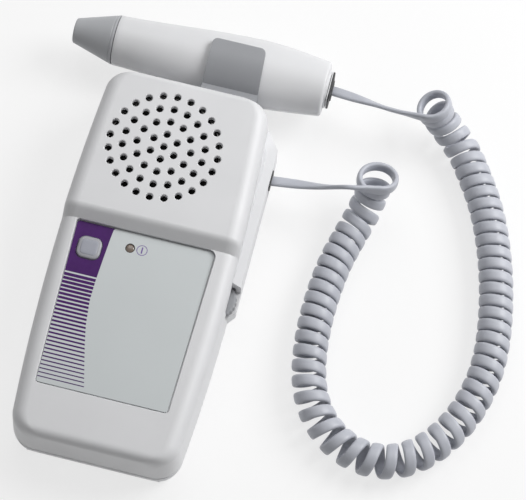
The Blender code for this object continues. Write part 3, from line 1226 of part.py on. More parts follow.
def coil_path():
    """Points down the middle of the curled cord, and the direction of its width at each."""
    fine_step = COIL_TIGHT_PITCH / 24
    line = smooth_route(COIL_ROUTE, fine_step)
    ahead, side = carried_frames(line)
    other = np.cross(ahead, side)
    steps = np.linalg.norm(np.diff(line, axis=0), axis=1)
    along = np.concatenate([[0.0], np.cumsum(steps)])
    bend = np.linalg.norm(np.gradient(ahead, along, axis=0), axis=1)
    smooth = np.ones(25) / 25
    bend = np.convolve(np.pad(bend, 12, mode="edge"), smooth, mode="valid")
    outer = COIL_RADIUS + CORD_THICKNESS / 2
    inside_share = np.clip(1 - outer * bend, 0.3, 1.0)
    away = np.clip(np.abs(along - COIL_LOOSE_PLACE) / COIL_LOOSE_REACH, 0, 1)
    pulled = (1 + np.cos(math.pi * away)) / 2
    pitch = COIL_TIGHT_PITCH + (COIL_LOOSE_PITCH - COIL_TIGHT_PITCH) * pulled
    pitch = np.maximum(pitch, COIL_LEAST_SPACING / inside_share)
    rate = 1 / pitch
    turns = np.concatenate([[0.0], np.cumsum((rate[1:] + rate[:-1]) / 2 * steps)])

    # The coil starts and ends on the side of its rings where the leads come in.
    def facing(i, direction):
        towards = np.array(direction)
        return math.atan2(towards @ other[i], towards @ side[i])

    first, last = facing(0, UNIT_RING_FACING), facing(-1, PROBE_RING_FACING)
    swing = -math.tau * turns[-1]
    swing += math.remainder(last - first - swing, math.tau)
    angle = first + swing * turns / turns[-1]
    near_unit = np.clip(1 - along / RING_FADE, 0, 1)
    near_probe = np.clip(1 - (along[-1] - along) / RING_FADE, 0, 1)
    radius = COIL_RADIUS + (UNIT_RING_RADIUS - COIL_RADIUS) * near_unit
    radius += (PROBE_RING_RADIUS - COIL_RADIUS) * near_probe
    count = round(abs(swing) / math.tau * COIL_POINTS) + 1
    wanted = np.linspace(first, first + swing, count)
    at = np.interp(-wanted, -angle, np.arange(len(line)))

    def pick(values):
        index = np.arange(len(line))
        return np.stack([np.interp(at, index, values[:, k]) for k in range(3)], axis=1)

    spoke = pick(side) * np.cos(wanted)[:, None] + pick(other) * np.sin(wanted)[:, None]
    reach = np.interp(at, np.arange(len(line)), radius)
    path = pick(line) + unit(spoke) * reach[:, None]
    width = pick(ahead)
    # One straight cord's width at each end, in line with the last curl.
    start = path[0] - unit(path[1] - path[0]) * CORD_WIDTH
    stop = path[-1] + unit(path[-1] - path[-2]) * CORD_WIDTH
    path = np.concatenate([[start], path, [stop]])
    width = np.concatenate([[width[0]], width, [width[-1]]])
    return path, width, abs(swing) / math.tau


def flat_cord(path, width):
    """A flat cord swept along a path: six-sided, with its narrow edges pointed."""
    ahead = unit(np.gradient(path, axis=0))
    across = unit(width - ahead * (width * ahead).sum(1)[:, None])
    up = np.cross(ahead, across)
    half, thick = CORD_WIDTH / 2, CORD_THICKNESS / 2
    flat = half - CORD_EDGE
    section = [(half, 0), (flat, thick), (-flat, thick), (-half, 0), (-flat, -thick), (flat, -thick)]
    rings = [[tuple(p + a * w + b * h) for w, h in section] for p, a, b in zip(path, across, up)]
    return loft(rings)


def least_gap(shape, sides, apart):
    """The least distance between points of a swept skin that lie well apart along it."""
    points = shape[0]
    tree = KDTree(len(points))
    for i, p in enumerate(points):
        tree.insert(p, i)
    tree.balance()
    least = math.inf
    for i, p in enumerate(points):
        for _, j, distance in tree.find_n(p, 6 * sides):
            if abs(i // sides - j // sides) > apart:
                least = min(least, distance)
    return least


def lead(name, start, bends, stop, stop_width, vinyl, parent, back=(0, 0, 0)):
    """A straight stretch of cord that leaves a plug lying flat and turns on edge before the coil."""
    arrival = unit(np.array(stop[0]) - np.array(stop[1]))
    end = np.array(stop[0]) - arrival * GAP
    run_in = [tuple(end - arrival * CORD_WIDTH * times) for times in (2, 1, 0)]
    route = [start, *bends, *run_in]
    path = smooth_route(route, LEAD_STEP)
    share = np.linspace(0, 1, len(path))
    turn = share * share * (3 - 2 * share)
    flat = np.array([0.0, 1.0, 0.0])
    upright = stop_width if stop_width[2] > 0 else -stop_width
    width = flat[None] * (1 - turn)[:, None] + upright[None] * turn[:, None]
    shape = flat_cord(path, width)
    solid(name, moved(shape, tuple(-b for b in back)), vinyl, parent)
    return float(np.linalg.norm(np.diff(path, axis=0), axis=1).sum())


def build_cord(vinyl, housing, probe, unit_exit, probe_exit):
    path, width, curls = coil_path()
    shape = flat_cord(path, width)
    solid("cord_coil", shape, vinyl, housing)
    gap = least_gap(shape, 6, COIL_POINTS // 2)
    lowest = min(p[2] for p in shape[0])
    here = unit_exit + GAP, SOCKET_Y, SOCKET_Z
    there = probe_exit + GAP, PROBE_Y, PROBE_Z
    length = float(np.linalg.norm(np.diff(path, axis=0), axis=1).sum())
    at_unit = (tuple(path[0]), tuple(path[0] - unit(path[1] - path[0])))
    at_probe = (tuple(path[-1]), tuple(path[-1] - unit(path[-2] - path[-1])))
    unit_lead = lead("cord_unit_lead", here, UNIT_LEAD_BENDS, at_unit, width[0], vinyl, housing)
    back = tuple(probe.location)
    probe_lead = lead("cord_probe_lead", there, PROBE_LEAD_BENDS, at_probe, width[-1], vinyl, probe, back)
    print(f"cord: {curls:.1f} curls, coil {length:.3f} m, leads {unit_lead:.3f} and {probe_lead:.3f} m")
    print(f"cord: least gap between curls {gap / MM:.2f} mm, lowest point {lowest / MM:.2f} mm")


def main():
    clear_scene()
    white = paint("white_shell", (0.80, 0.81, 0.82), 0.45)
    print_paint = paint("label_print", (0.66, 0.69, 0.68), 0.35)
    grey = paint("grey_plastic", (0.40, 0.41, 0.42), 0.5)
    dark = paint("dark_plastic", (0.05, 0.05, 0.055), 0.5)
    clear = paint("clear_plastic", (0.75, 0.77, 0.78), 0.15, alpha=0.6)
    led_paint = paint("led_lens", (0.20, 0.13, 0.07), 0.2)
    paper = paint("cone_paper", (0.04, 0.04, 0.04), 0.85)
    steel = paint("plated_steel", (0.60, 0.60, 0.60), 0.3, 1.0)
    ferrite = paint("ferrite", (0.08, 0.08, 0.09), 0.6)
    foam = paint("foam", (0.03, 0.03, 0.03), 0.95)
    green = paint("board_green", (0.03, 0.20, 0.08), 0.5)
    jacket = paint("cell_jacket", (0.10, 0.10, 0.12), 0.35)
    ceramic = paint("crystal_ceramic", (0.70, 0.66, 0.55), 0.4)
    window_paint = paint("window_resin", (0.22, 0.23, 0.24), 0.3)
    vinyl = paint("cord_vinyl", (0.42, 0.44, 0.48), 0.45)

    housing = empty("housing_frame")
    probe = empty("probe_frame", (PROBE_X, PROBE_Y, PROBE_Z))
    build_front_shell(white, housing)
    build_rear_shell(white, housing)
    build_battery_door(white, housing)
    build_screws(steel, housing)
    build_speaker(ferrite, paper, steel, foam, housing)
    build_front_fittings(print_paint, grey, led_paint, housing)
    build_board(green, dark, housing)
    build_volume_control(grey, steel, housing)
    build_batteries(jacket, steel, housing)
    build_clip(grey, steel, housing)
    build_probe(white, grey, window_paint, ceramic, green, probe)
    at = (SOCKET_X, SOCKET_Y, SOCKET_Z)
    plate = socket_plate(UNIT_PLATE_WIDTH, UNIT_PLATE_HEIGHT)
    unit_exit = SOCKET_X + build_socket("unit_socket", "unit_plug", plate, (white, dark), housing, at)
    at = (PROBE_LENGTH + PROBE_NECK_LENGTH, 0, 0)
    plate = socket_plate(PROBE_PLATE_WIDTH, PROBE_PLATE_HEIGHT)
    face = build_socket("probe_socket", "probe_plug", plate, (dark, dark), probe, at)
    probe_exit = PROBE_X + at[0] + face
    build_cord(vinyl, housing, probe, unit_exit, probe_exit)


main()
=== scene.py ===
"""Looks of a handheld vascular doppler: housing with loudspeaker, pencil probe and curly cord.

Everything is in metres in the CAD's frame: the housing lies on its back, +X is its right side,
+Y its top end and +Z points out of its front.
"""

import math

import bmesh
import bpy
import numpy as np
from mathutils import Matrix, Vector


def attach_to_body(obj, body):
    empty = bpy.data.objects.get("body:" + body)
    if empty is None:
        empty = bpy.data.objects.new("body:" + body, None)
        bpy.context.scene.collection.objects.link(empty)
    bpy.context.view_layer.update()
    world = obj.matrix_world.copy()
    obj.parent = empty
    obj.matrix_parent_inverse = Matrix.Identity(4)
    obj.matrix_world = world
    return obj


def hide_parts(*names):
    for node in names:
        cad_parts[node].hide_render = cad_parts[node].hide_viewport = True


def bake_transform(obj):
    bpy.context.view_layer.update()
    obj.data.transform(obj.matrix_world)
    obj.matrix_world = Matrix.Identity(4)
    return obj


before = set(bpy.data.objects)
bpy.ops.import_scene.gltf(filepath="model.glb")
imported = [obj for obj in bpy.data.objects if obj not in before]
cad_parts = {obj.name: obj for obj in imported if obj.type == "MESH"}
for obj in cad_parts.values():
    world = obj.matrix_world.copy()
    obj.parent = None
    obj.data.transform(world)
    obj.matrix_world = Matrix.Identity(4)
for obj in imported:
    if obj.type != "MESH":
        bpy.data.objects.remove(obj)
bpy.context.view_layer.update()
MM = 0.001
GAP = 0.3 * MM
SMOOTH = 32.0  # degrees up to which faces shade as one


# Camera, at the photograph's angle


def place_camera():
    right = Vector((0.9704, 0.2403, 0.0248)).normalized()
    look = Vector((-0.062, 0.3472, -0.9358)).normalized()
    up = right.cross(look)
    data = bpy.data.cameras.new("camera")
    data.sensor_width = 36.0
    data.lens = 161.5
    data.clip_start = 0.05
    camera = bpy.data.objects.new("camera", data)
    bpy.context.scene.collection.objects.link(camera)
    turned_to = Matrix((right, up, -look)).transposed().to_4x4()
    camera.matrix_world = Matrix.Translation((0.11509, -0.34341, 1.01066)) @ turned_to
    bpy.context.scene.camera = camera


place_camera()


# Shapes are pairs of a list of points and a list of faces.


def loft(rings, closed=False):
    """A skin over rings of equally many points, closed on itself or with a face at each end."""
    count = len(rings[0])
    points = [tuple(p) for ring in rings for p in ring]
    faces = []
    if not closed:
        faces = [tuple(range(count)), tuple(range(len(points) - 1, len(points) - count - 1, -1))]
    levels = len(rings) if closed else len(rings) - 1
    for level in range(levels):
        low, high = level * count, (level + 1) % len(rings) * count
        for i in range(count):
            j = (i + 1) % count
            faces.append((low + i, high + i, high + j, low + j))
    return points, faces


def turned(profile, sides):
    """A closed profile of (radius, height) turned about Z. It may start and end on the axis."""
    points, rows = [], []
    for radius, height in profile:
        count = sides if radius else 1
        rows.append([len(points) + i % count for i in range(sides)])
        for i in range(count):
            turn = math.tau * i / sides
            points.append((radius * math.cos(turn), radius * math.sin(turn), height))
    on_axis = profile[0][0] == 0 and profile[-1][0] == 0
    faces = []
    for low, high in zip(rows, rows[1:] if on_axis else rows[1:] + rows[:1]):
        for i in range(sides):
            j = (i + 1) % sides
            corners = [low[i], low[j], high[j], high[i]]
            face = [c for k, c in enumerate(corners) if c not in corners[:k]]
            if len(face) > 2:
                faces.append(tuple(face))
    return points, faces


def block(low, high):
    (x0, y0, z0), (x1, y1, z1) = low, high
    return prism([(x0, y0), (x1, y0), (x1, y1), (x0, y1)], z0, z1)


def prism(outline, low, high):
    return loft([[(x, y, z) for x, y in outline] for z in (low, high)])


def rounded(corners, radii, steps=8):
    """An outline whose corners are arcs of the given radii."""
    outline = []
    for i, (corner, radius) in enumerate(zip(corners, radii)):
        here = Vector(corner)
        before = (Vector(corners[i - 1]) - here).normalized()
        after = (Vector(corners[(i + 1) % len(corners)]) - here).normalized()
        half = before.angle(after) / 2
        centre = here + (before + after).normalized() * (radius / math.sin(half))
        start = here + before * (radius / math.tan(half)) - centre
        stop = here + after * (radius / math.tan(half)) - centre
        for k in range(steps + 1):
            spoke = start.slerp(stop, k / steps).normalized() * radius
            outline.append(tuple(centre + spoke))
    return outline


def rounded_rectangle(width, length, radius, steps=8, at=(0, 0)):
    left, right = at[0] - width / 2, at[0] + width / 2
    low, high = at[1] - length / 2, at[1] + length / 2
    return rounded([(left, low), (right, low), (right, high), (left, high)], [radius] * 4, steps)


def swapped(shape, order):
    points, faces = shape
    return [tuple(p[k] for k in order) for p in points], faces


def moved(shape, by):
    points, faces = shape
    return [tuple(a + b for a, b in zip(p, by)) for p in points], faces


def in_mm(points):
    return [tuple(c * MM for c in p) for p in points]


def together(*shapes):
    points, faces = [], []
    for more_points, more_faces in shapes:
        faces += [tuple(i + len(points) for i in face) for face in more_faces]
        points += more_points
    return points, faces


def rod(radius, low, high, sides=32, at=(0, 0)):
    return moved(turned([(0, low), (radius, low), (radius, high), (0, high)], sides), (*at, 0))


def mesh_of(name, shape):
    mesh = bpy.data.meshes.new(name)
    work = bmesh.new()
    made = [work.verts.new(p) for p in shape[0]]
    for face in shape[1]:
        work.faces.new([made[i] for i in face])
    bmesh.ops.recalc_face_normals(work, faces=work.faces)
    work.to_mesh(mesh)
    work.free()
    return mesh


def attach(item, body, nodes=()):
    """Puts a piece on a CAD body, in place of the nodes that it stands for."""
    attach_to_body(item, body)
    if nodes:
        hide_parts(*nodes)


def piece(name, shape, paint, body=None, nodes=(), angle=SMOOTH, bevel=0.0, segments=2):
    """A piece of the object made from a shape. With a body it is attached at once."""
    mesh = mesh_of(name, shape)
    mesh.materials.append(paint)
    mesh.shade_smooth()
    item = bpy.data.objects.new(name, mesh)
    bpy.context.scene.collection.objects.link(item)
    if bevel:
        change = item.modifiers.new("bevel", "BEVEL")
        change.width = bevel
        change.segments = segments
        change.limit_method = "ANGLE"
        change.angle_limit = math.radians(38)
        settle(item)
    item.data.set_sharp_from_angle(angle=math.radians(angle))
    if body:
        attach(item, body, nodes)
    return item


def settle(item):
    """Applies the piece's modifiers."""
    bpy.context.view_layer.update()
    graph = bpy.context.evaluated_depsgraph_get()
    mesh = bpy.data.meshes.new_from_object(item.evaluated_get(graph))
    item.modifiers.clear()
    item.data = mesh


def cut(item, *cutters, operation="DIFFERENCE"):
    """Cuts shapes out of a piece, or joins them to it."""
    tools = []
    for shape in cutters:
        tool = bpy.data.objects.new("tool", mesh_of("tool", shape))
        bpy.context.scene.collection.objects.link(tool)
        change = item.modifiers.new("cut", "BOOLEAN")
        change.operation = operation
        change.object = tool
        change.solver = "EXACT"
        tools.append(tool)
    settle(item)
    for tool in tools:
        bpy.data.objects.remove(tool)


def dress(item, body, slot, *nodes, angle=SMOOTH):
    """Shades a cut piece so that its large flat faces stay flat, and attaches it."""
    item.data.shade_smooth()
    item.data.set_sharp_from_angle(angle=math.radians(angle))
    change = item.modifiers.new("normals", "WEIGHTED_NORMAL")
    change.keep_sharp = True
    change.weight = 80
    settle(item)
    attach(item, body, nodes)


# Materials


class Nodes:
    """The node tree of a material or world, with methods that add linked nodes."""

    def __init__(self, made):
        made.use_nodes = True
        self.made, self.tree = made, made.node_tree
        self.shader = self.tree.nodes.get("Principled BSDF") or self.tree.nodes["Background"]

    def put(self, node, key, value):
        """Gives an input a number, a colour or another node's output."""
        socket = node.inputs[key]
        if isinstance(value, bpy.types.NodeSocket):
            self.tree.links.new(value, socket)
        else:
            socket.default_value = (*value, 1.0) if socket.type == "RGBA" else value

    def add(self, kind, inputs=None, **settings):
        node = self.tree.nodes.new(kind)
        for key, value in settings.items():
            setattr(node, key, value)
        for key, value in (inputs or {}).items():
            self.put(node, key, value)
        return node

    def place(self, kind="Object"):
        return self.add("ShaderNodeTexCoord").outputs[kind]

    def noise(self, scale, detail=3.0, roughness=0.5, place=None):
        inputs = {"Scale": scale, "Detail": detail, "Roughness": roughness}
        inputs["Vector"] = place or self.place()
        return self.add("ShaderNodeTexNoise", inputs).outputs["Fac"]

    def stretched(self, scale, kind="Object"):
        inputs = {"Scale": scale, "Vector": self.place(kind)}
        return self.add("ShaderNodeMapping", inputs).outputs["Vector"]

    def spread(self, value, low, high, start=0.3, stop=0.7):
        """Maps the range from start to stop onto the range from low to high."""
        inputs = {"Value": value, "From Min": start, "From Max": stop}
        inputs |= {"To Min": low, "To Max": high}
        return self.add("ShaderNodeMapRange", inputs).outputs["Result"]

    def mix(self, share, first, second):
        """Mixes two colours, whose inputs are the sixth and seventh."""
        inputs = {"Factor": share, 6: first, 7: second}
        return self.add("ShaderNodeMix", inputs, data_type="RGBA").outputs[2]

    def tinted(self, value, colour, low, high):
        """The colour times low to high, as the value goes."""
        return self.mix(self.spread(value, 0.0, 1.0), scaled(colour, low), scaled(colour, high))

    def bump(self, height, depth, strength=1.0, onto=None):
        inputs = {"Strength": strength, "Distance": depth, "Height": height}
        if onto:
            inputs["Normal"] = onto
        return self.add("ShaderNodeBump", inputs).outputs["Normal"]

    def finish(self, colour, roughness, normal=None, **others):
        """Fills in the shader and gives the material."""
        others |= {"Base Color": colour, "Roughness": roughness}
        if normal:
            others["Normal"] = normal
        for key, value in others.items():
            self.put(self.shader, key, value)
        return self.made

    def show_white(self, glow, share, output):
        """Mixes in white for rays seen straight, in a reflection or through something clear."""
        rays = self.add("ShaderNodeLightPath").outputs
        seen = rays["Is Camera Ray"]
        for kind in ("Is Glossy Ray", "Is Transmission Ray"):
            inputs = {0: seen, 1: rays[kind]}
            seen = self.add("ShaderNodeMath", inputs, operation="MAXIMUM").outputs[0]
        if share < 1:
            inputs = {0: seen, 1: share}
            seen = self.add("ShaderNodeMath", inputs, operation="MULTIPLY").outputs[0]
        white = self.add(glow, {"Strength": 1.0})
        inputs = {0: seen, 1: self.shader.outputs[0], 2: white.outputs[0]}
        mixed = self.add("ShaderNodeMixShader", inputs)
        self.put(self.tree.nodes[output], "Surface", mixed.outputs[0])


def material(name):
    return Nodes(bpy.data.materials.new(name))


def scaled(colour, share):
    return tuple(min(1.0, c * share) for c in colour)


def plastic(name, colour, roughness, grain=1500.0, depth=0.02 * MM, mottle=0.02):
    """Moulded plastic: a faint cloudiness, a fine spark-eroded grain and rubbed patches."""
    n = material(name)
    return n.finish(
        n.tinted(n.noise(38.0, 4.0), colour, 1 - mottle, 1 + mottle),
        n.spread(n.noise(90.0, 5.0, 0.6), roughness - 0.05, roughness + 0.06),
        n.bump(n.noise(grain, 2.0), depth, 0.5),
    )


def label_film(name, colour):
    """Printed film under a satin lacquer, with a slight orange peel."""
    n = material(name)
    return n.finish(
        n.tinted(n.noise(26.0, 2.0), colour, 0.985, 1.015),
        n.spread(n.noise(500.0, 3.0), 0.30, 0.40),
        n.bump(n.noise(700.0, 2.0), 0.012 * MM, 0.4),
    )


def ink(name, colour):
    """Screen-printed ink with a slightly uneven, dull film."""
    n = material(name)
    return n.finish(
        n.tinted(n.noise(300.0, 4.0), colour, 0.93, 1.08),
        n.spread(n.noise(900.0, 3.0), 0.30, 0.42),
        n.bump(n.noise(2200.0, 1.0), 0.004 * MM, 0.4),
        **{"Specular IOR Level": 0.15},
    )


def cord_vinyl(name, colour):
    """Soft extruded vinyl: faint draw lines along the cord and a smooth, slightly greasy face."""
    n = material(name)
    lines = n.noise(1.0, 3.0, 0.55, n.stretched((6.0, 900.0, 1.0), "UV"))
    tint = n.tinted(n.noise(60.0, 4.0), colour, 0.96, 1.04)
    grain = n.bump(n.noise(1800.0, 2.0), 0.012 * MM, 0.35)
    return n.finish(
        n.mix(n.spread(lines, 0.0, 0.35), tint, scaled(colour, 0.9)),
        n.spread(n.noise(240.0, 4.0), 0.36, 0.48),
        n.bump(lines, 0.03 * MM, 0.35, grain),
    )


def metal(name, colour, roughness):
    """Plated metal with fine drawn scratches."""
    n = material(name)
    scratches = n.noise(1.0, 4.0, 0.6, n.stretched((40.0, 40.0, 900.0)))
    return n.finish(
        n.tinted(n.noise(70.0), colour, 0.9, 1.06),
        n.spread(scratches, roughness - 0.06, roughness + 0.1),
        n.bump(scratches, 0.01 * MM, 0.4),
        Metallic=1.0,
    )


def board_laminate(name):
    """Green solder mask over copper tracks, with tinned pads."""
    n = material(name)
    inputs = {"Vector": n.place(), "Scale": 260.0}
    cells = n.add("ShaderNodeTexVoronoi", inputs, distance="CHEBYCHEV", feature="F1")
    inputs = {"Vector": n.place(), "Scale": 320.0, "Mortar Size": 0.02}
    inputs |= {"Brick Width": 1.6, "Row Height": 0.5}
    tracks = n.add("ShaderNodeTexBrick", inputs, offset=0.37).outputs["Fac"]
    mask = n.mix(tracks, (0.018, 0.13, 0.055), (0.03, 0.22, 0.08))
    pads = n.spread(cells.outputs["Distance"], 1.0, 0.0, 0.10, 0.12)
    return n.finish(
        n.mix(pads, mask, (0.62, 0.60, 0.55)),
        n.spread(n.noise(600.0), 0.28, 0.42),
        n.bump(tracks, 0.03 * MM, 0.6),
    )


def fibrous(name, colour, scale=700.0):
    """Paper, felt or foam: open fibres and pores."""
    n = material(name)
    fibres = n.noise(scale, 5.0, 0.7)
    return n.finish(
        n.tinted(fibres, colour, 0.55, 1.5),
        n.spread(fibres, 0.82, 0.98),
        n.bump(fibres, 0.12 * MM, 0.8),
    )


def lens_resin(name, colour, roughness=0.12):
    """Tinted clear resin under a gloss coat."""
    n = material(name)
    return n.finish(
        n.tinted(n.noise(500.0, 2.0), colour, 0.85, 1.15),
        n.spread(n.noise(800.0, 2.0), roughness, roughness + 0.08),
        **{"Coat Weight": 0.6, "Coat Roughness": 0.08},
    )


def cell_jacket(name, colour):
    """Printed shrink sleeve over a steel can."""
    n = material(name)
    return n.finish(
        n.tinted(n.noise(120.0, 3.0), colour, 0.9, 1.12),
        n.spread(n.noise(260.0, 4.0), 0.22, 0.36),
        n.bump(n.noise(150.0, 2.0), 0.03 * MM, 0.3),
    )


WHITE = plastic("white_shell", (0.735, 0.738, 0.752), 0.42)
FILM = label_film("label_print", (0.585, 0.618, 0.625))
PURPLE = ink("purple_ink", (0.060, 0.010, 0.118))
MARK_INK = ink("mark_ink", (0.20, 0.13, 0.36))
GREY = plastic("grey_plastic", (0.30, 0.307, 0.325), 0.46, mottle=0.03)
TIP_GREY = plastic("tip_plastic", (0.455, 0.465, 0.485), 0.48, mottle=0.03)
RIM = plastic("button_rim_plastic", (0.36, 0.365, 0.39), 0.38)
PAD = plastic("button_pad_plastic", (0.335, 0.345, 0.395), 0.42, grain=1100.0)
DARK = plastic("dark_plastic", (0.018, 0.018, 0.020), 0.42, mottle=0.08)
LENS = lens_resin("led_lens", (0.17, 0.125, 0.095))
PAPER = fibrous("cone_paper", (0.018, 0.018, 0.018))
STEEL = metal("plated_steel", (0.62, 0.62, 0.60), 0.28)
FERRITE = plastic("ferrite", (0.05, 0.05, 0.055), 0.62, grain=900.0, depth=0.04 * MM, mottle=0.1)
FOAM = fibrous("foam", (0.02, 0.02, 0.02), 900.0)
BOARD = board_laminate("board_green")
JACKET = cell_jacket("cell_jacket", (0.045, 0.05, 0.06))
BAND = cell_jacket("cell_band", (0.40, 0.26, 0.10))
CERAMIC = plastic("crystal_ceramic", (0.66, 0.61, 0.50), 0.38, grain=2500.0, mottle=0.05)
RESIN = lens_resin("window_resin", (0.20, 0.21, 0.22), 0.28)
VINYL = cord_vinyl("cord_vinyl", (0.485, 0.500, 0.552))


# Curly cord

CORD_WIDTH = 5.2 * MM
NARROW_WIDTH = 4.7 * MM
CORD_THICKNESS = 2.5 * MM
LEAD_THICKNESS = 2.1 * MM
COIL_RADIUS = 6.6 * MM
UNIT_RING_RADIUS = 9.0 * MM
PROBE_RING_RADIUS = 7.9 * MM
RING_FADE = 8.0 * MM
UNIT_RING_FACING = (0.16, -1.0, 0.0)
PROBE_RING_FACING = (-0.25, -1.0, 0.0)
TIGHT_PITCH = 5.95 * MM
LOOSE_PITCH = 8.3 * MM
LOOSE_PLACE = 156.0 * MM
LOOSE_REACH = 95.0 * MM
LEAST_SPACING = 4.95 * MM
CURL_POINTS = 30
UNIT_EXIT = (45.1, 58.8, 17.0)
PROBE_EXIT = (61.7, 108.6, 19.0)
ROUTE = [
    (91.5, 69.6, 26.9),
    (91.1, 67.7, 21.7),
    (90.5, 64.8, 17.1),
    (89.7, 60.9, 13.2),
    (88.5, 56.3, 10.3),
    (87.1, 51.3, 8.5),
    (85.5, 46.1, 7.9),
    (83.9, 39.6, 7.9),
    (81.4, 30.2, 7.9),
    (79.3, 8.7, 7.9),
    (80.0, -11.5, 7.9),
    (83.4, -28.8, 7.9),
    (89.6, -40.4, 7.9),
    (97.8, -48.8, 7.9),
    (109.2, -54.8, 7.9),
    (123.0, -56.0, 7.9),
    (136.6, -50.2, 7.9),
    (148.6, -36.8, 7.9),
    (156.6, -19.6, 7.9),
    (160.2, 0.6, 7.9),
    (158.4, 22.6, 7.9),
    (153.4, 46.6, 7.9),
    (145.8, 68.0, 7.9),
    (139.4, 80.2, 7.9),
    (134.6, 87.6, 7.9),
    (128.5, 97.1, 7.9),
    (124.6, 101.1, 8.5),
    (120.4, 104.4, 10.3),
    (116.3, 107.0, 13.3),
    (112.5, 108.6, 17.2),
    (109.5, 109.6, 21.9),
    (107.5, 110.0, 27.2),
]
UNIT_BENDS = [(55.9, 59.4, 18.6), (69.6, 59.1, 23.4)]
PROBE_BENDS = [(71.5, 107.4, 20.0), (84.0, 104.8, 23.0)]


def lengths(points):
    """How far along a path each of its points lies."""
    steps = np.linalg.norm(np.diff(points, axis=0), axis=1)
    return np.concatenate([[0.0], np.cumsum(steps)])


def read_off(at, along, rows):
    return np.stack([np.interp(at, along, rows[:, k]) for k in range(3)], axis=1)


def averaged(values, reach):
    """Each value's mean with its neighbours on both sides."""
    share = np.ones(2 * reach + 1) / (2 * reach + 1)
    return np.convolve(np.pad(values, reach, mode="edge"), share, mode="valid")


def smooth_route(route, step):
    """Points about step apart on a uniform cubic B-spline that starts and ends on the route."""
    knots = [Vector(p) for p in route]
    knots = [2 * knots[0] - knots[1], *knots, 2 * knots[-1] - knots[-2]]
    fine = []
    for i in range(len(knots) - 3):
        a, b, c, d = knots[i : i + 4]
        for k in range(24 + (i == len(knots) - 4)):
            t = k / 24
            near_b, near_c = 3 * t**3 - 6 * t**2 + 4, -3 * t**3 + 3 * t**2 + 3 * t + 1
            fine.append(tuple((a * (1 - t) ** 3 + b * near_b + c * near_c + d * t**3) / 6))
    fine = np.array(fine)
    along = lengths(fine)
    at = np.linspace(0, along[-1], max(2, math.ceil(along[-1] / step) + 1))
    return read_off(at, along, fine)


def unit(v):
    return v / np.linalg.norm(v, axis=-1, keepdims=True)


def coil_path():
    """Points down the middle of the curled cord, and the direction and size of its width."""
    line = smooth_route(in_mm(ROUTE), TIGHT_PITCH / 24)
    ahead = unit(np.gradient(line, axis=0))
    side = [unit(np.array([1.0, 0.0, 0.0]) - ahead[0] * ahead[0][0])]
    for t in ahead[1:]:
        side.append(unit(side[-1] - t * (side[-1] @ t)))
    side = np.array(side)
    other = np.cross(ahead, side)
    along = lengths(line)
    bend = averaged(np.linalg.norm(np.gradient(ahead, along, axis=0), axis=1), 12)
    inside_share = np.clip(1 - (COIL_RADIUS + CORD_THICKNESS / 2) * bend, 0.3, 1.0)
    away = np.clip(np.abs(along - LOOSE_PLACE) / LOOSE_REACH, 0, 1)
    pitch = TIGHT_PITCH + (LOOSE_PITCH - TIGHT_PITCH) * (1 + np.cos(math.pi * away)) / 2
    pitch = np.maximum(pitch, LEAST_SPACING / inside_share)
    rate = 1 / pitch
    room = np.clip(pitch * inside_share - 0.3 * MM, NARROW_WIDTH, CORD_WIDTH)
    turns = np.cumsum((rate[1:] + rate[:-1]) / 2 * np.diff(along))
    turns = np.concatenate([[0.0], turns])

    def facing(i, direction):
        towards = np.array(direction)
        return math.atan2(towards @ other[i], towards @ side[i])

    first, last = facing(0, UNIT_RING_FACING), facing(-1, PROBE_RING_FACING)
    swing = -math.tau * turns[-1]
    swing += math.remainder(last - first - swing, math.tau)
    angle = first + swing * turns / turns[-1]
    near_unit = np.clip(1 - along / RING_FADE, 0, 1)
    near_probe = np.clip(1 - (along[-1] - along) / RING_FADE, 0, 1)
    radius = COIL_RADIUS + (UNIT_RING_RADIUS - COIL_RADIUS) * near_unit
    radius += (PROBE_RING_RADIUS - COIL_RADIUS) * near_probe
    wanted = np.linspace(first, first + swing, round(abs(swing) / math.tau * CURL_POINTS) + 1)
    index = np.arange(len(line))
    at = np.interp(-wanted, -angle, index)
    spoke = read_off(at, index, side) * np.cos(wanted)[:, None]
    spoke += read_off(at, index, other) * np.sin(wanted)[:, None]
    path = read_off(at, index, line) + unit(spoke) * np.interp(at, index, radius)[:, None]
    return path, read_off(at, index, ahead), np.interp(at, index, room)


def lead_path(start, bends, stop, arrival, stop_width):
    """From a plug to the first curl: flat at the plug, turning on edge before the coil."""
    route = in_mm([start, *bends])
    route += [tuple(stop - arrival * CORD_WIDTH * times) for times in (3, 2, 1, 0.2)]
    path = smooth_route(route, 1.1 * MM)
    share = np.linspace(0, 1, len(path))
    upright = stop_width if stop_width[2] > 0 else -stop_width
    width = np.array([[0.0, -1.0, 0.0]])
    for begin, end, towards in ((0.0, 0.7, np.array([0.06, -0.35, 0.94])), (0.75, 1.0, upright)):
        turn = np.clip((share - begin) / (end - begin), 0, 1)[:, None]
        turn = turn * turn * (3 - 2 * turn)
        width = width * (1 - turn) + towards[None] * turn
    width = unit(width)
    return path, width if width[-1] @ stop_width > 0 else -width


def cord_section(points=20):
    """A flat cord's outline for a width and thickness of 1, with full round edges."""

    def bulged(value, power):
        return math.copysign(abs(value) ** power, value) / 2

    turns = [math.tau * (i + 0.5) / points for i in range(points)]
    return [(bulged(math.cos(turn), 0.62), bulged(math.sin(turn), 0.74)) for turn in turns]


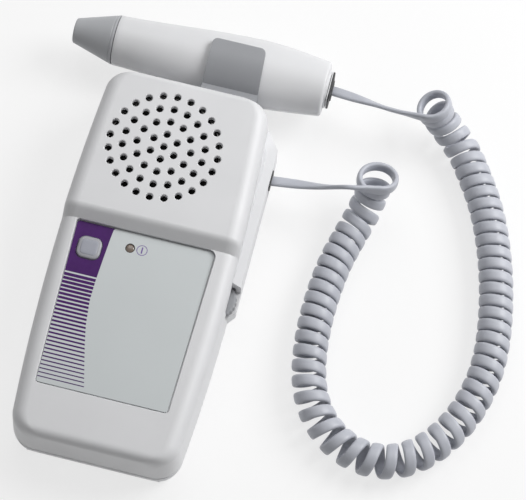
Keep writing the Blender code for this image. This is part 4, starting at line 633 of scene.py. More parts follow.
def build_cord():
    path, width, room = coil_path()
    start, stop = unit(path[1] - path[0]), unit(path[-1] - path[-2])
    unit_path, unit_width = lead_path(UNIT_EXIT, UNIT_BENDS, path[0], start, width[0])
    probe_path, probe_width = lead_path(PROBE_EXIT, PROBE_BENDS, path[-1], -stop, width[-1])
    line = np.concatenate([unit_path[:-1], path, probe_path[::-1][1:]])
    across = np.concatenate([unit_width[:-1], width, probe_width[::-1][1:]])
    narrow = [np.full(len(lead) - 1, NARROW_WIDTH) for lead in (unit_path, probe_path)]
    sizes = np.concatenate([narrow[0], room, narrow[1]])
    thick = np.full(len(sizes), CORD_THICKNESS)
    thick[: len(unit_path) - 1] = thick[1 - len(probe_path) :] = LEAD_THICKNESS
    thick = averaged(thick, 6)
    for _ in range(3):
        across[1:-1] = (across[:-2] + across[1:-1] * 2 + across[2:]) / 4
    ahead = unit(np.gradient(line, axis=0))
    across = unit(across - ahead * (across * ahead).sum(1)[:, None])
    up = np.cross(ahead, across)
    outline = cord_section()
    rings = [
        [tuple(p + a * w + b * h) for w, h in outline]
        for p, a, b in zip(line, across * sizes[:, None], up * thick[:, None])
    ]
    cord = piece("curly_cord", loft(rings), VINYL, angle=60.0)
    along = lengths(line)
    layer = cord.data.uv_layers.new(name="along")
    count = len(outline)
    for face in cord.data.polygons:
        for corner in face.loop_indices:
            vertex = cord.data.loops[corner].vertex_index
            layer.data[corner].uv = (along[vertex // count], (vertex % count) / count * 0.016)
    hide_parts("cord_coil", "cord_unit_lead", "cord_probe_lead")
    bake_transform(cord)
    print(f"cord {along[-1]:.3f} m")


build_cord()


# Housing

WIDTH_HALF = 41.6 * MM
LENGTH_HALF = 87.6 * MM
FRONT_HEIGHT = 38.0 * MM
LOWER_FRONT = 33.4 * MM
LOWER_FALL = 1.9 * MM
PARTING = 9.0 * MM
BRIM = PARTING - GAP
SHOULDER = BRIM - 1.0 * MM
BOW = 990.0 * MM
WIDEST_Y = 2.4 * MM
CORNER = 9.0 * MM
BOTTOM_EXTRA = 1.6 * MM
BOTTOM_ROUND = 4.0 * MM
TOP_ROUND = 2.4 * MM
LEAN = 0.8 * MM
DRAFT = 0.9 * MM
ACROSS = 7.0 * MM
DOWN = 6.0 * MM
TAPER = 3.4 * MM
STEP_Y = 13.6 * MM
STEP_RUN = 6.4 * MM
WALL = 2.4 * MM
GROOVE_DEPTH = 0.7 * MM
RAIL_OUTER = 44.5 * MM
RAIL_TOP = 27.0 * MM
RAIL_FOOT = 4.5 * MM
RAIL_ENDS = (-6.0 * MM, 71.5 * MM)
LABEL_BOTTOM = -63.9 * MM
LABEL_FLOOR = 31.2 * MM
LABEL_EASE = -0.45 * MM
FILM_FLOOR = 31.4 * MM
FILM_TOP = 31.9 * MM
CEILING = 29.2 * MM
RAISED_CEILING = 35.6 * MM
SPEAKER = (-4.4 * MM, 54.35 * MM)
HOLE_SPACING = 6.2 * MM
HOLE_RADIUS = 1.65 * MM
HOLE_RIM = 2.45 * MM
BUTTON = (-24.5 * MM, 1.5 * MM)
BUTTON_OPENING = (11.2 * MM, 10.8 * MM, 3.5 * MM)  # width, length and corner
LED = (-7.0 * MM, 5.9 * MM)
LED_OPENING = 2.2 * MM
POWER_MARK = (-1.6 * MM, 6.1 * MM)
WHEEL = (35.1 * MM, -3.5 * MM)
WHEEL_Z = (16.4 * MM, 20.0 * MM)
WHEEL_RADIUS = 9.0 * MM
WHEEL_SLOT_RADIUS = 9.7 * MM
WHEEL_NOTCH_HALF = 6.6 * MM
TOOTH_DEPTH = 0.4 * MM
SOCKET = (43.0 * MM, 58.8 * MM, 17.0 * MM)
PROBE = (-61.3 * MM, 108.6 * MM, 19.0 * MM)
PROBE_JACK = (PROBE[0] + 120.9 * MM, PROBE[1], PROBE[2])
CASE_SCREWS = [(x * MM, y * MM) for x, y in ((-31, 78.6), (31, 78.6), (-18, -19.7), (18, -19.7))]
SCREW_HEAD_Z = 2.6 * MM
WELL_HALF = 29.4 * MM
WELL_LOW, WELL_HIGH = -81.7 * MM, -25.8 * MM
CELL_SPACING = 14.6 * MM
CELL_Z = 9.9 * MM


def half_width(y):
    """Half of the housing's width, its sides being long arcs."""
    return WIDTH_HALF - BOW + math.sqrt(BOW**2 - (y - WIDEST_Y) ** 2)


def rounding(distance, radius):
    """How far an arc stands back, at a distance from the end that it rounds."""
    if distance >= radius:
        return 0.0
    return radius - math.sqrt(max(radius**2 - (radius - distance) ** 2, 0.0))


def front_height(y):
    """Height of the front: a slight slope up to the step, and a rise that rolls over to flat."""
    if y <= STEP_Y:
        return LOWER_FRONT - LOWER_FALL * (STEP_Y - y) / (STEP_Y + LENGTH_HALF)
    share = min(1.0, (y - STEP_Y) / STEP_RUN)
    past = max(0.0, share - 0.55)
    return LOWER_FRONT + (FRONT_HEIGHT - LOWER_FRONT) * 1.29 * (share - past**2 / 0.9)


def stations(inset, corner, steps=12):
    """Where along Y the sections of a shell lie, closest at the ends and over the step."""
    end = LENGTH_HALF - inset
    arc = [1 - math.sin(math.pi / 2 * i / steps) for i in range(steps + 1)]
    lower = [(corner + BOTTOM_EXTRA) * share - end for share in reversed(arc)]
    upper = [end - corner * share for share in arc]
    foot = STEP_Y + inset
    step = [foot + STEP_RUN * k / 12 for k in range(13)]
    below = list(np.linspace(lower[-1], step[0], 14)[1:-1])
    above = list(np.linspace(step[-1], upper[0], 10)[1:-1])
    return [*lower, *below, *step, *above, *upper]


def plan_at(y, inset, corner):
    """Distance to the nearer end, radius of the corner there and half the width."""
    distance = max(LENGTH_HALF - inset - abs(y), 0.0)
    corner += BOTTOM_EXTRA if y < 0 else 0.0
    return distance, corner, half_width(y) - inset - rounding(distance, corner)


def mirrored(right):
    return [*right, *[(-x, other) for x, other in reversed(right)]]


def front_section(y, inset, corner, foot, height, across, down, steps=12):
    distance, corner, half = plan_at(y, inset, corner)
    top = height - rounding(distance, max((BOTTOM_ROUND if y < 0 else TOP_ROUND) - inset, GAP))
    lean = LEAN * max(1 - distance / corner, 0.0) if y < 0 else 0.0
    right = [(half, foot)]
    for i in range(steps + 1):
        turn = math.pi / 2 * i / steps
        x = half - DRAFT - across + across * math.cos(turn)
        right.append((x, top - down + down * math.sin(turn)))
    return [(x, y + lean * (z - foot) / (height - foot), z) for x, z in mirrored(right)]


def rear_section(y, steps=8):
    distance, _, half = plan_at(y, 0.0, CORNER)
    low = SHOULDER - SHOULDER * math.sqrt(1 - max(1 - distance / TAPER, 0.0) ** 2)
    right = [(half, BRIM)]
    for i in range(steps + 1):
        turn = math.pi / 2 * i / steps
        x = half - TAPER * (1 - math.cos(turn))
        right.append((x, SHOULDER + (low - SHOULDER) * math.sin(turn)))
    return [(x, y, z) for x, z in mirrored(right)]


def parting_groove(foot, rise):
    """A wedge all round the housing that breaks a shell's edge at the parting line."""

    def plan(inset, z):
        inside, outside = max(inset, 0.0), max(-inset, 0.0)
        right = []
        for y in stations(inside, CORNER):
            half = plan_at(y, inside, CORNER)[2]
            beyond = math.copysign(outside, y) * (abs(y) / LENGTH_HALF) ** 6
            right.append((half + outside, y + beyond))
        return [(x, y, z) for x, y in mirrored(right)]

    past = foot - math.copysign(0.2 * MM, rise)
    wedge = [
        plan(-MM, past),
        plan(GROOVE_DEPTH, past),
        plan(GROOVE_DEPTH, foot),
        plan(-0.02 * MM, foot + rise),
        plan(-MM, foot + rise),
    ]
    return loft(wedge, closed=True)


def rail(low, high, low_chamfer, high_chamfer, steps=6):
    """The side rail's body, its long edges cut off at the foot or at the top."""
    shares = [k / steps for k in range(steps)]
    levels = [(low + low_chamfer * k, low_chamfer * (1 - k)) for k in shares if low_chamfer]
    levels.append((low + low_chamfer, 0.0))
    if high_chamfer:
        levels += [(high - high_chamfer * (1 - k), high_chamfer * k) for k in shares]
    levels.append((high, high_chamfer))
    lower, upper = RAIL_ENDS
    lower_end, upper_end = lower - 3.8 * MM, upper + 8.5 * MM
    root = 6.0 * MM
    lower_root, upper_root = half_width(lower_end) - root, half_width(upper_end) - root
    rings = []
    for z, back in levels:
        corners = [
            (upper_root, upper_end - back),
            (upper_root + root - back, upper_end - back),
            (RAIL_OUTER - back, upper - back),
            (RAIL_OUTER - back, lower + back),
            (lower_root + root - back, lower_end + back),
            (lower_root, lower_end + back),
        ]
        rings.append([(x, y, z) for x, y in corners])
    return loft(rings)


def label_outline(margin, top_margin=None):
    """The label recess's outline, drawn in by a margin. Its top end lies at the step."""
    top = STEP_Y - (margin if top_margin is None else top_margin)
    bottom = LABEL_BOTTOM + margin
    corners = [
        (-31.0 * MM + margin, bottom),
        (28.4 * MM - margin, bottom),
        (30.7 * MM - margin, top),
        (-33.3 * MM + margin, top),
    ]
    radii = [1.5 * MM, 1.5 * MM, 3.2 * MM, 1.5 * MM]
    return rounded(corners, [max(r - margin, 0.2 * MM) for r in radii])


def button_hole(low, high):
    width, length, corner = BUTTON_OPENING
    return prism(rounded_rectangle(width, length, corner, at=BUTTON), low, high)


def panel_holes(low, high):
    return together(button_hole(low, high), rod(LED_OPENING, low, high, at=LED))


def speaker_holes():
    """A hole in the middle and four rings of holes round it, their rims eased."""
    low, rim, top = RAISED_CEILING - 1.5 * MM, FRONT_HEIGHT - 0.3 * MM, FRONT_HEIGHT + 0.5 * MM
    hole = [(0, low), (HOLE_RADIUS, low), (HOLE_RADIUS, rim), (HOLE_RIM, top), (0, top)]
    hole = turned(hole, 28)
    holes = [moved(hole, (*SPEAKER, 0))]
    for ring in range(1, 5):
        reach = ring * HOLE_SPACING
        for i in range(6 * ring):
            turn = math.pi / 2 + math.tau * i / (6 * ring)
            x, y = SPEAKER[0] + reach * math.cos(turn), SPEAKER[1] + reach * math.sin(turn)
            holes.append(moved(hole, (x, y, 0)))
    return together(*holes)


def build_front_shell():
    outside = [
        front_section(y, 0.0, CORNER, PARTING, front_height(y), ACROSS, DOWN)
        for y in stations(0.0, CORNER)
    ]
    shell = piece("shell_front", loft(outside), WHITE)

    def inside_height(y):
        raised = (front_height(y - WALL) - LOWER_FRONT) / (FRONT_HEIGHT - LOWER_FRONT)
        return CEILING + max(raised, 0.0) * (RAISED_CEILING - CEILING)

    corner, across, down = CORNER - WALL, ACROSS - WALL / 2, DOWN - WALL / 2
    inside = [
        front_section(y, WALL, corner, PARTING - MM, inside_height(y), across, down, 5)
        for y in stations(WALL, corner, 6)
    ]
    cut(shell, parting_groove(PARTING, 0.6 * MM))
    cut(shell, rail(PARTING, RAIL_TOP, 0.0, 4.0 * MM), operation="UNION")
    cut(shell, loft(inside))
    posts = []
    for x, y in CASE_SCREWS:
        top = (CEILING if y < 0 else RAISED_CEILING) + MM
        posts.append(rod(4.2 * MM, PARTING, top, 24, (x, y)))
    cut(shell, together(*posts), operation="UNION")

    inner, outer = label_outline(0.0), label_outline(LABEL_EASE, 0.0)
    recess = [
        [(x, y, LABEL_FLOOR) for x, y in inner],
        [(x, y, front_height(y) - 0.35 * MM) for x, y in inner],
        [(x, y, front_height(min(y, STEP_Y)) + 0.1 * MM) for x, y in outer],
        [(x, y, FRONT_HEIGHT - GAP) for x, y in outer],
    ]
    cut(shell, together(speaker_holes(), loft(recess)))

    plate = prism(rounded_rectangle(14.8 * MM, 11.2 * MM, 3.3 * MM), SOCKET[0], RAIL_OUTER + MM)
    plate = moved(swapped(plate, (2, 0, 1)), (0, SOCKET[1], SOCKET[2]))
    cut(shell, panel_holes(CEILING - 1.5 * MM, LABEL_FLOOR + 1.5 * MM), plate)
    notch = block(
        (40.4 * MM, WHEEL[1] - WHEEL_NOTCH_HALF, WHEEL_Z[0] - 0.9 * MM),
        (RAIL_OUTER + MM, WHEEL[1] + WHEEL_NOTCH_HALF, RAIL_TOP + MM),
    )
    cut(shell, notch)
    slot = rod(WHEEL_SLOT_RADIUS, WHEEL_Z[0] - 0.7 * MM, WHEEL_Z[1] + 0.7 * MM, 64, WHEEL)
    half, rise = 6.2 * MM, 4.4 * MM
    socket_hole = block(
        (32.0 * MM, SOCKET[1] - half, SOCKET[2] - rise),
        (46.0 * MM, SOCKET[1] + half, SOCKET[2] + rise),
    )
    cut(shell, together(slot, socket_hole))
    dress(shell, "housing", "white_shell", "front_shell")


def build_rear_shell():
    outside = [rear_section(y) for y in stations(0.0, CORNER)]
    shell = piece("shell_rear", loft(outside), WHITE)
    width, length = 2 * WELL_HALF + 5.2 * MM, WELL_HIGH - WELL_LOW + 3.2 * MM
    middle = (0, (WELL_LOW + WELL_HIGH) / 2)
    well = prism(rounded_rectangle(width, length, 2.8 * MM, 6, middle), 1.2 * MM, 18.9 * MM)
    cut(shell, parting_groove(BRIM, -0.4 * MM))
    cut(shell, rail(RAIL_FOOT, BRIM, 3.5 * MM, 0.0), operation="UNION")
    cut(shell, well, operation="UNION")
    cut(shell, block((-WELL_HALF, WELL_LOW, -MM), (WELL_HALF, WELL_HIGH, 17.3 * MM)))
    half, upper = 30.6 * MM, WELL_HIGH + 1.2 * MM
    cut(shell, block((-half, -LENGTH_HALF - MM, -MM), (half, upper, 2.5 * MM)))
    half += 1.2 * MM
    cut(shell, block((-half, -LENGTH_HALF - 2 * MM, 0.8 * MM), (half, upper, 2.2 * MM)))
    sink = turned(in_mm([(0, -0.6), (4.1, -0.6), (3.2, 0.3), (3.2, 4.6), (0, 4.6)]), 40)
    cut(shell, together(*[moved(sink, (*at, 0)) for at in CASE_SCREWS]))
    dress(shell, "housing", "white_shell", "rear_shell")


def build_battery_door():
    half, upper, thick = 30.3 * MM, WELL_HIGH + 0.9 * MM, 2.2 * MM

    def end_at(z):
        drop = 1 - z / SHOULDER
        return TAPER * (1 - math.sqrt(1 - drop**2)) - LENGTH_HALF

    side = [(upper - 0.3 * MM, 0.0), (upper, 0.3 * MM), (upper, thick)]
    side += [(end_at(z), z) for z in (thick, 1.6 * MM, 1.1 * MM, 0.6 * MM, 0.3 * MM, 0.0)]
    plate = [[(x, y, z) for y, z in side] for x in (-half, half)]
    door = piece("door", loft(plate), WHITE)
    inner = half + 0.9 * MM
    tongue = block((-inner, WELL_LOW, 1.1 * MM), (inner, upper - GAP, 1.9 * MM))
    cut(door, tongue, operation="UNION")
    groove = in_mm([(-0.75, -0.2), (0.75, -0.2), (0.4, 0.5), (-0.4, 0.5)])
    groove = loft([[(x, y, z) for y, z in groove] for x in (-10 * MM, 10 * MM)])
    grips = [moved(groove, (0, WELL_LOW + (i + 1) * 3.0 * MM + 0.6 * MM, 0)) for i in range(4)]
    cut(door, together(*grips))
    dress(door, "battery_door", "white_shell", "battery_door")


def block_edge(y):
    """Where the label's printed block and stripes end on their right."""
    ys = [-63.0, -52.0, -42.6, -33.6, -21.9, -11.9, -2.3, 8.0, 12.4, 13.6]
    xs = [-9.2, -12.0, -14.4, -16.4, -17.8, -17.7, -17.2, -16.6, -16.2, -15.4]
    return float(np.interp(y / MM, ys, xs)) * MM


def block_left(y):
    """Where they begin on their left."""
    share = (STEP_Y - y) / (76.2 * MM)
    return -32.9 * MM + 2.3 * MM * share


def build_label():
    film = piece("label_film", prism(label_outline(0.4 * MM), FILM_FLOOR, FILM_TOP), FILM)
    cut(film, panel_holes(FILM_FLOOR - MM, FILM_TOP + MM))
    dress(film, "housing", "label_print", "label_overlay")

    low, high = FILM_TOP + 0.005 * MM, FILM_TOP + 0.03 * MM
    top, stripes_from = 13.15 * MM, -11.2 * MM
    left = block_left(top)
    outline = [(block_edge(y), y) for y in np.linspace(stripes_from, top, 26)]
    outline += [
        (left + 1.1 * MM, top),
        (left + 0.35 * MM, top - 0.3 * MM),
        (left + 0.02 * MM, top - 1.1 * MM),
        (block_left(stripes_from), stripes_from),
    ]
    solid = piece("print_block", prism(outline, low, high), PURPLE)
    cut(solid, button_hole(low - MM, high + MM))
    dress(solid, "housing", "label_print")

    stripes = []
    count, pitch = 27, 1.86 * MM
    for i in range(count):
        y = stripes_from - 0.55 * MM - (i + 0.5) * pitch
        thick = (1.42 - 0.98 * (i / (count - 1)) ** 0.85) * MM
        lower, upper = y - thick / 2, y + thick / 2
        stripe = [(block_left(upper), upper), (block_left(lower), lower)]
        stripe += [(block_edge(lower), lower), (block_edge(upper), upper)]
        stripes.append(prism(stripe, low, high))
    piece("print_stripes", together(*stripes), PURPLE, "housing", angle=30.0)

    inner, outer, half, reach = 2.15 * MM, 2.45 * MM, 0.3 * MM, 1.5 * MM
    ring = turned([(inner, low), (outer, low), (outer, high), (inner, high)], 48)
    mark = together(ring, block((-half, -reach, low), (half, reach, high)))
    mark = moved(mark, (*POWER_MARK, 0))
    piece("print_mark", mark, MARK_INK, "housing", angle=30.0)


def build_button():
    """The button's body with its raised rim, and the pad that fills the rim."""

    def shape(levels):
        rings = []
        for z, inset in levels:
            d = inset * MM
            corner = max(3.2 * MM - d, 0.7 * MM)
            ring = rounded_rectangle(10.6 * MM - 2 * d, 10.2 * MM - 2 * d, corner, 10)
            rings.append([(x, y, z * MM) for x, y in ring])
        return moved(loft(rings), (*BUTTON, 0))

    rim = [(27.9, -1.0), (28.9, -1.0), (28.9, 0.0), (32.2, 0.0)]
    turns = (0.35, 0.7, 1.05, 1.4)
    rim += [(32.2 + 0.75 * math.sin(a), 1.15 * (1 - math.cos(a))) for a in turns]
    rim += [(33.0, 1.3)]
    pad = [(32.6, 1.45), (33.0, 1.5), (33.1, 1.6), (33.17, 1.9), (33.19, 3.0), (33.2, 4.2)]
    button = "power_button"
    piece("button_rim", shape(rim), RIM, button, (button,), 40.0)
    piece("button_pad", shape(pad), PAD, button, angle=50.0)


def build_led():
    r = 1.9
    lens = [(0, 24.3), (2.4, 24.3), (2.4, 25.3), (r, 25.3), (r, 31.3)]
    lens += [(r * math.cos(a), 31.3 + 0.58 * math.sin(a)) for a in np.linspace(0.15, 1.45, 9)]
    lens += [(0, 31.9)]
    dome = moved(turned(in_mm(lens), 48), (*LED, 0))
    piece("led_dome", dome, LENS, "housing", ("power_led",), 50.0)


def build_wheel():
    teeth, per_tooth = 26, 8
    middle = (WHEEL_Z[0] + WHEEL_Z[1]) / 2
    half = (WHEEL_Z[1] - WHEEL_Z[0]) / 2
    levels = [(-half, 1.2), (-half, 0.5), (-half + 0.2 * MM, 0.2), (-half + 0.5 * MM, 0.0)]
    levels += [(-z, inset) for z, inset in reversed(levels)]
    rings = []
    for z, inset in levels:
        ring = []
        for i in range(teeth * per_tooth):
            turn = math.tau * i / (teeth * per_tooth)
            wave = 0.5 - 0.5 * math.cos(turn * teeth)
            radius = WHEEL_RADIUS - inset * MM - TOOTH_DEPTH * wave**0.7
            ring.append((radius * math.cos(turn), radius * math.sin(turn), middle + z))
        rings.append(ring)
    wheel = moved(loft(rings), (*WHEEL, 0))
    piece("wheel", wheel, GREY, "volume_wheel", ("volume_wheel",), 40.0)


def build_clip():
    """The C-shaped holder on the top end, its arms' corners rounded."""
    axis_y, axis_z = PROBE[1], PROBE[2]
    left, right, arm, thick, corner = 3.5 * MM, 28.4 * MM, 5.9 * MM, 2.3 * MM, 2.6 * MM
    fits = [probe_half_sizes(x - PROBE[0]) for x in np.linspace(left, right, 5)]
    wide, high = max(w for w, _ in fits) + GAP, max(h for _, h in fits) + GAP
    base = LENGTH_HALF + GAP - axis_y
    turns = [math.pi / 2 - math.pi * i / 40 for i in range(41)]

    def section(x, reach):
        inner = [(reach, high - 0.3 * MM), (reach - 0.4 * MM, high)]
        inner += [(-wide * math.cos(t), high * math.sin(t)) for t in turns]
        inner += [(reach - 0.4 * MM, -high), (reach, -high + 0.3 * MM)]
        far, tall = wide + thick, high + thick
        nose = in_mm([(0, -1.1), (-0.12, -0.55), (-0.5, -0.14), (-1.1, 0)])
        outer = [(reach + y, tall + z) for y, z in nose]
        outer += [(-far * math.cos(t), tall * math.sin(t)) for t in turns[:13]]
        outer += [(base + 2.6 * MM, 11.8 * MM), (base, 11.5 * MM)]
        lower = [(y, -z) for y, z in reversed(outer)]
        return [(x, y, z) for y, z in [*outer, *lower, *reversed(inner)]]

    edge = [corner * (1 - math.cos(math.pi / 2 * k / 7)) for k in range(8)]
    rings = [section(left + d, arm - rounding(d, corner)) for d in edge]
    spread = 1.5 * MM / (arm - base)
    for d in reversed(edge):
        ring = section(right - d, arm - rounding(d, corner))
        rings.append([(x + spread * (arm - y), y, z) for x, y, z in ring])
    shape = moved(loft(rings), (0, axis_y, axis_z))
    clip = piece("probe_holder", shape, GREY, bevel=0.35 * MM, segments=3)
    dress(clip, "housing", "grey_plastic", "probe_clip", angle=40.0)


# Probe, its half sizes and the places along it in mm

NECK, NECK_END = 11.7, 19.9
WIDEST, HIGHEST, WIDEST_AT = 16.1, 13.2, 91.0
TAIL_WIDTH, TAIL_HEIGHT, TAIL_END = 12.8, 12.2, 119.9


def probe_half_sizes(along):
    along = along / MM
    share = min(1.0, max(0.0, (along - NECK_END) / (WIDEST_AT - NECK_END)))
    swell = math.sin(math.pi / 2 * share)
    width = NECK + (WIDEST - NECK) * swell**1.6
    height = NECK + (HIGHEST - NECK) * swell
    if along > WIDEST_AT:
        share = ((along - WIDEST_AT) / (TAIL_END - WIDEST_AT)) ** 1.3
        width -= (WIDEST - TAIL_WIDTH) * share
        height -= (HIGHEST - TAIL_HEIGHT) * share
    return width * MM, height * MM


def half_ring(along, side, inset, count=33):
    """Half of the probe's cross-section, above or below its parting plane."""
    width, height = probe_half_sizes(along)
    ring = []
    for i in range(count):
        turn = math.pi * i / (count - 1)
        y = (width - inset) * math.cos(turn)
        z = max((height - inset) * math.sin(turn), 0.15 * MM)
        ring.append((along, y, side * z))
    return ring


def build_probe():
    start, tail, ease = 20.2 * MM, TAIL_END * MM, 1.3 * MM
    places = [(start, 0.35 * MM), (start + 0.1 * MM, 0.1 * MM)]
    places += [(float(x), 0.0) for x in np.linspace(start + 0.35 * MM, tail - ease, 48)]
    for k in range(1, 9):
        turn = math.pi / 2 * k / 8
        places.append((tail - ease + ease * math.sin(turn), ease * (1 - math.cos(turn))))
    places += [(tail, 4.0 * MM), (tail + 0.8 * MM, 4.0 * MM), (tail + 1.0 * MM, 4.2 * MM)]
    for name, side, node in (("top", 1, "upper"), ("lower", -1, "lower")):
        shape = moved(loft([half_ring(x, side, inset) for x, inset in places]), PROBE)
        stands_for = (f"probe_{node}_shell",)
        piece(f"probe_{name}_half", shape, WHITE, "probe", stands_for, 40.0)


def turned_on_probe(profile, sides):
    return moved(swapped(turned(in_mm(profile), sides), (2, 0, 1)), PROBE)


def build_tip():
    face, rim, groove = 6.0, 0.95, 18.4
    slope = (NECK - face) / (NECK_END - rim)

    def cone(z):
        return face + slope * (z - rim)

    profile = [(4.6, 0.0), (5.1, 0.0)]
    profile += [(5.1 + 0.9 * math.sin(a), 0.9 * (1 - math.cos(a))) for a in (0.4, 0.8, 1.2)]
    profile += [(cone(z), z) for z in (rim, 6.0, 12.0, groove - 0.3)]
    profile += [(cone(groove) - 0.25, groove), (cone(groove + 0.3), groove + 0.3)]
    profile += [(NECK - 0.1, NECK_END - 0.35), (NECK - 0.12, NECK_END - 0.12)]
    profile += [(NECK - 0.4, NECK_END), (9.4, NECK_END), (9.4, 23.9)]
    profile += [(7.7, 23.9), (6.3, 12.2), (4.6, 11.9)]
    shape = turned_on_probe(profile, 72)
    piece("tip_cone", shape, TIP_GREY, "probe", ("probe_tip",), 28.0)
    window = [(0, 0.0), (1.5, 0.0), (3.2, 0.06), (4.0, 0.22), (4.3, 0.5), (4.3, 3.0), (0, 3.0)]
    shape = turned_on_probe(window, 64)
    piece("tip_window", shape, RESIN, "probe", ("probe_window",), 40.0)


# Sockets, plugs, screws, cells and springs


def build_socket(kind, size, paint, slot, body, at, side_paint=None):
    """A socket that faces +X, with the plug in it. Its plate's sides may have their own paint."""
    width, height = size
    face, opening = 1.5 * MM, (4.6 * MM, 3.0 * MM)

    def box(low, high, half_y, half_z):
        corners = in_mm([(low, -half_y, -half_z), (high, half_y, half_z)])
        return moved(block(*corners), at)

    outline = rounded_rectangle(width, height, 3.0 * MM)
    inner = rounded_rectangle(width - 0.5 * MM, height - 0.5 * MM, 2.75 * MM)
    rings = [[(x, y, z) for x, y in outline] for z in (GAP, face - 0.8 * MM, face - 0.25 * MM)]
    rings.append([(x, y, face) for x, y in inner])
    plate = piece(f"{kind}_jack", moved(swapped(loft(rings), (2, 0, 1)), at), paint)
    cut(plate, box(-11.2, 0.9, 5.9, 4.1), operation="UNION")
    corners = ((-1, -1), (1, -1), (1, 1), (-1, 1))
    flare = [
        [(x, a * (opening[0] + more), b * (opening[1] + more)) for a, b in corners]
        for x, more in ((face - 0.5 * MM, 0.0), (face + 0.5 * MM, MM))
    ]
    cut(plate, box(-8.3, 3.0, 4.6, 3.0))
    cut(plate, moved(loft(flare), at))
    if side_paint:
        plate.data.materials.append(side_paint)
        for side in plate.data.polygons:
            x, y, z = (c - a for c, a in zip(side.center, at))
            outer = max(abs(y) / width, abs(z) / height) > 0.4
            if outer and GAP / 2 < x < face - 0.7 * MM:
                side.material_index = 1
    dress(plate, body, slot, f"{kind}_socket")
    dark, name, node = "dark_plastic", f"{kind}_jack_plug", f"{kind}_plug"
    plug = box(-8.0, 2.1, 4.3, 2.7)
    piece(name, plug, DARK, body, (node,), bevel=0.45 * MM, segments=3)
    latch = block((-1.0 * MM, -1.6 * MM, 2.5 * MM), (2.05 * MM, 1.6 * MM, 3.05 * MM))
    piece(f"{kind}_jack_latch", moved(latch, at), DARK, body, bevel=0.12 * MM)


def screw_shape(head, height, shaft, length):
    """A pan-head screw that stands on its head."""
    turns = np.linspace(0.25, math.pi / 2, 8)
    profile = [(0, 0.0)]
    profile += [(head * math.sin(a), height * 0.55 * (1 - math.cos(a))) for a in turns]
    profile += [(head, height), (shaft, height), (shaft, height + length), (0, height + length)]
    return turned(profile, 40)


def build_screws():
    """The case screws, each with a cross recess."""
    for i, ((x, y), node) in enumerate(zip(CASE_SCREWS, (1, 3, 2, 4)), 1):
        at = (x, y, SCREW_HEAD_Z)
        shape = screw_shape(2.9 * MM, 1.7 * MM, 1.3 * MM, 14.0 * MM)
        screw = piece(f"case_fastener_{i}", moved(shape, at), STEEL)
        for a, b in in_mm([(1.5, 0.32), (0.32, 1.5)]):
            cut(screw, moved(block((-a, -b, -MM), (a, b, 0.9 * MM)), at))
        dress(screw, "housing", "plated_steel", f"case_screw_{node}")


def helix(low, high, start_radius, stop_radius, turns, wire, points=28, sides=10):
    """A wire wound from one height to another, its ends wound flat."""
    steps = int(turns * points)
    around = [math.tau * i / sides for i in range(sides)]
    up = Vector((0, 0, 1))
    rings = []
    for k in range(steps + 1):
        share = k / steps
        turn = math.tau * turns * share
        rise = min(1.0, max(0.0, (share * turns - 0.6) / (turns - 1.2)))
        radius = start_radius + (stop_radius - start_radius) * share
        out = Vector((math.cos(turn), math.sin(turn), 0))
        middle = out * radius + up * (low + (high - low) * rise)
        rings.append(
            [tuple(middle + out * (wire * math.cos(a)) + up * (wire * math.sin(a))) for a in around]
        )
    return loft(rings)


def laid(shape, way):
    """A shape that stands along Z, laid along Y or the other way."""
    points, faces = shape
    return [(x, way * z, y) for x, y, z in points], faces


def build_cells():
    """Four cells side by side, every second one turned round, with their springs."""
    radius, body, nub, band_from = 7.1, 49.0, 1.5, 36.7
    turns = (0.0, 0.5, 1.0, math.pi / 2)
    edge = [(radius - 0.6 + 0.6 * math.sin(a), 0.6 * (1 - math.cos(a))) for a in turns]
    profile = [(0, 0.25), (4.9, 0.25), (5.2, 0.0), *edge, (radius, 36.5), (radius, 37.0)]
    profile += [(r, body - z) for r, z in reversed(edge)]
    profile += [(5.4, body), (5.1, body - 0.4), (2.95, body - 0.4), (2.75, body - 0.2)]
    profile += [(2.75, body + nub - 0.35), (2.4, body + nub), (0, body + nub)]
    cell = turned(in_mm(profile), 56)
    spring = helix(0.7 * MM, 3.9 * MM, 4.1 * MM, 2.6 * MM, 4.2, 0.4 * MM)
    for i in range(4):
        way = 1 if i % 2 == 0 else -1
        x, foot = (i - 1.5) * CELL_SPACING, WELL_LOW if way > 0 else WELL_HIGH
        start = foot + way * 4.4 * MM
        name, node = f"cell_{i + 1}", f"battery_cell_{i + 1}"
        shape = moved(laid(cell, way), (x, start, CELL_Z))
        item = piece(name, shape, JACKET, "housing", (node,), 35.0)
        item.data.materials.append(BAND)
        item.data.materials.append(STEEL)
        for face in item.data.polygons:
            along = abs(face.center.y - start) / MM
            across = math.hypot(face.center.x - x, face.center.z - CELL_Z) / MM
            if across < 5.3:
                face.material_index = 2
            elif along > band_from:
                face.material_index = 1
        at = (x, foot, CELL_Z)
        name, node = f"cell_spring_{i + 1}", f"battery_spring_{i + 1}"
        shape = moved(laid(spring, way), at)
        piece(name, shape, STEEL, "housing", (node,), 60.0)
        low, high = sorted((way * GAP, way * 0.7 * MM))
        plate = moved(block((-5 * MM, low, -5 * MM), (5 * MM, high, 5 * MM)), at)
        piece(f"spring_plate_{i + 1}", plate, STEEL, "housing", bevel=0.1 * MM)


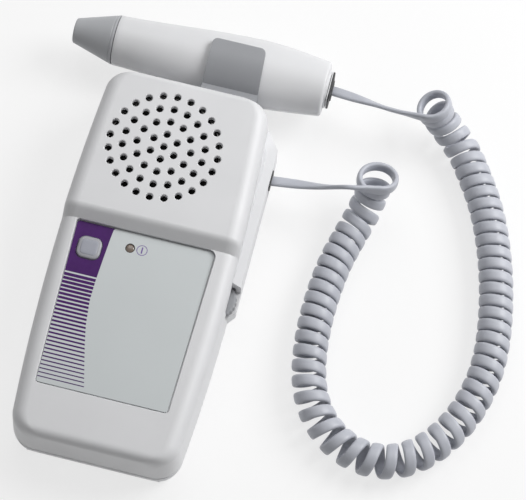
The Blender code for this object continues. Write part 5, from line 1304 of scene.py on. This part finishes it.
build_front_shell()
build_rear_shell()
build_battery_door()
build_label()
build_button()
build_led()
build_wheel()
build_clip()
build_probe()
build_tip()
build_socket("unit", (14.2 * MM, 10.6 * MM), WHITE, "white_shell", "housing", SOCKET)
build_socket("probe", (15.6 * MM, 12.0 * MM), DARK, "dark_plastic", "probe", PROBE_JACK, WHITE)
build_screws()
build_cells()

NODE_PAINTS = {
    "speaker_cone": PAPER,
    "speaker_magnet": FERRITE,
    "speaker_gasket": FOAM,
    "circuit_board": BOARD,
    "probe_board": BOARD,
    "tact_switch": DARK,
    "signal_chip": DARK,
    "transmit_crystal": CERAMIC,
    "receive_crystal": CERAMIC,
    "crystal_backing": TIP_GREY,
}
STEEL_NODES = ("speaker_frame", "volume_pot", "battery_contact", "battery_spring")
STEEL_NODES += ("board_screw", "clip_screw", "case_screw")
for name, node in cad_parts.items():
    paint = STEEL if name.startswith(STEEL_NODES) else NODE_PAINTS.get(name, WHITE)
    node.data.materials.clear()
    node.data.materials.append(paint)


# Stage and light


def build_stage():
    mesh = mesh_of("floor", block((-3, -3, -0.05), (3, 3, -0.25 * MM)))
    floor = bpy.data.objects.new("floor", mesh)
    bpy.context.scene.collection.objects.link(floor)
    n = material("floor_card")
    mesh.materials.append(n.finish((0.93, 0.93, 0.93), 0.9))
    n.show_white("ShaderNodeEmission", 0.72, "Material Output")


def area_light(name, at, size, power):
    """A square white lamp that faces the middle of the object."""
    data = bpy.data.lights.new(name, "AREA")
    data.shape = "SQUARE"
    data.size = size
    data.energy = power
    light = bpy.data.objects.new(name, data)
    bpy.context.scene.collection.objects.link(light)
    light.location = at
    towards = Vector((0.03, 0.0, 0.02)) - Vector(at)
    light.rotation_euler = towards.to_track_quat("-Z", "Y").to_euler()


def build_light():
    world = bpy.data.worlds.new("studio")
    bpy.context.scene.world = world
    n = Nodes(world)
    n.put(n.shader, "Color", (1.0, 1.0, 1.0))
    n.put(n.shader, "Strength", 0.205)
    n.show_white("ShaderNodeBackground", 1.0, "World Output")
    area_light("key", (0.62, 0.42, 0.62), 0.5, 6.65)
    area_light("top", (-0.1, 0.60, 0.90), 0.7, 2.75)


build_stage()
build_light()
bpy.context.scene.view_settings.view_transform = "Standard"
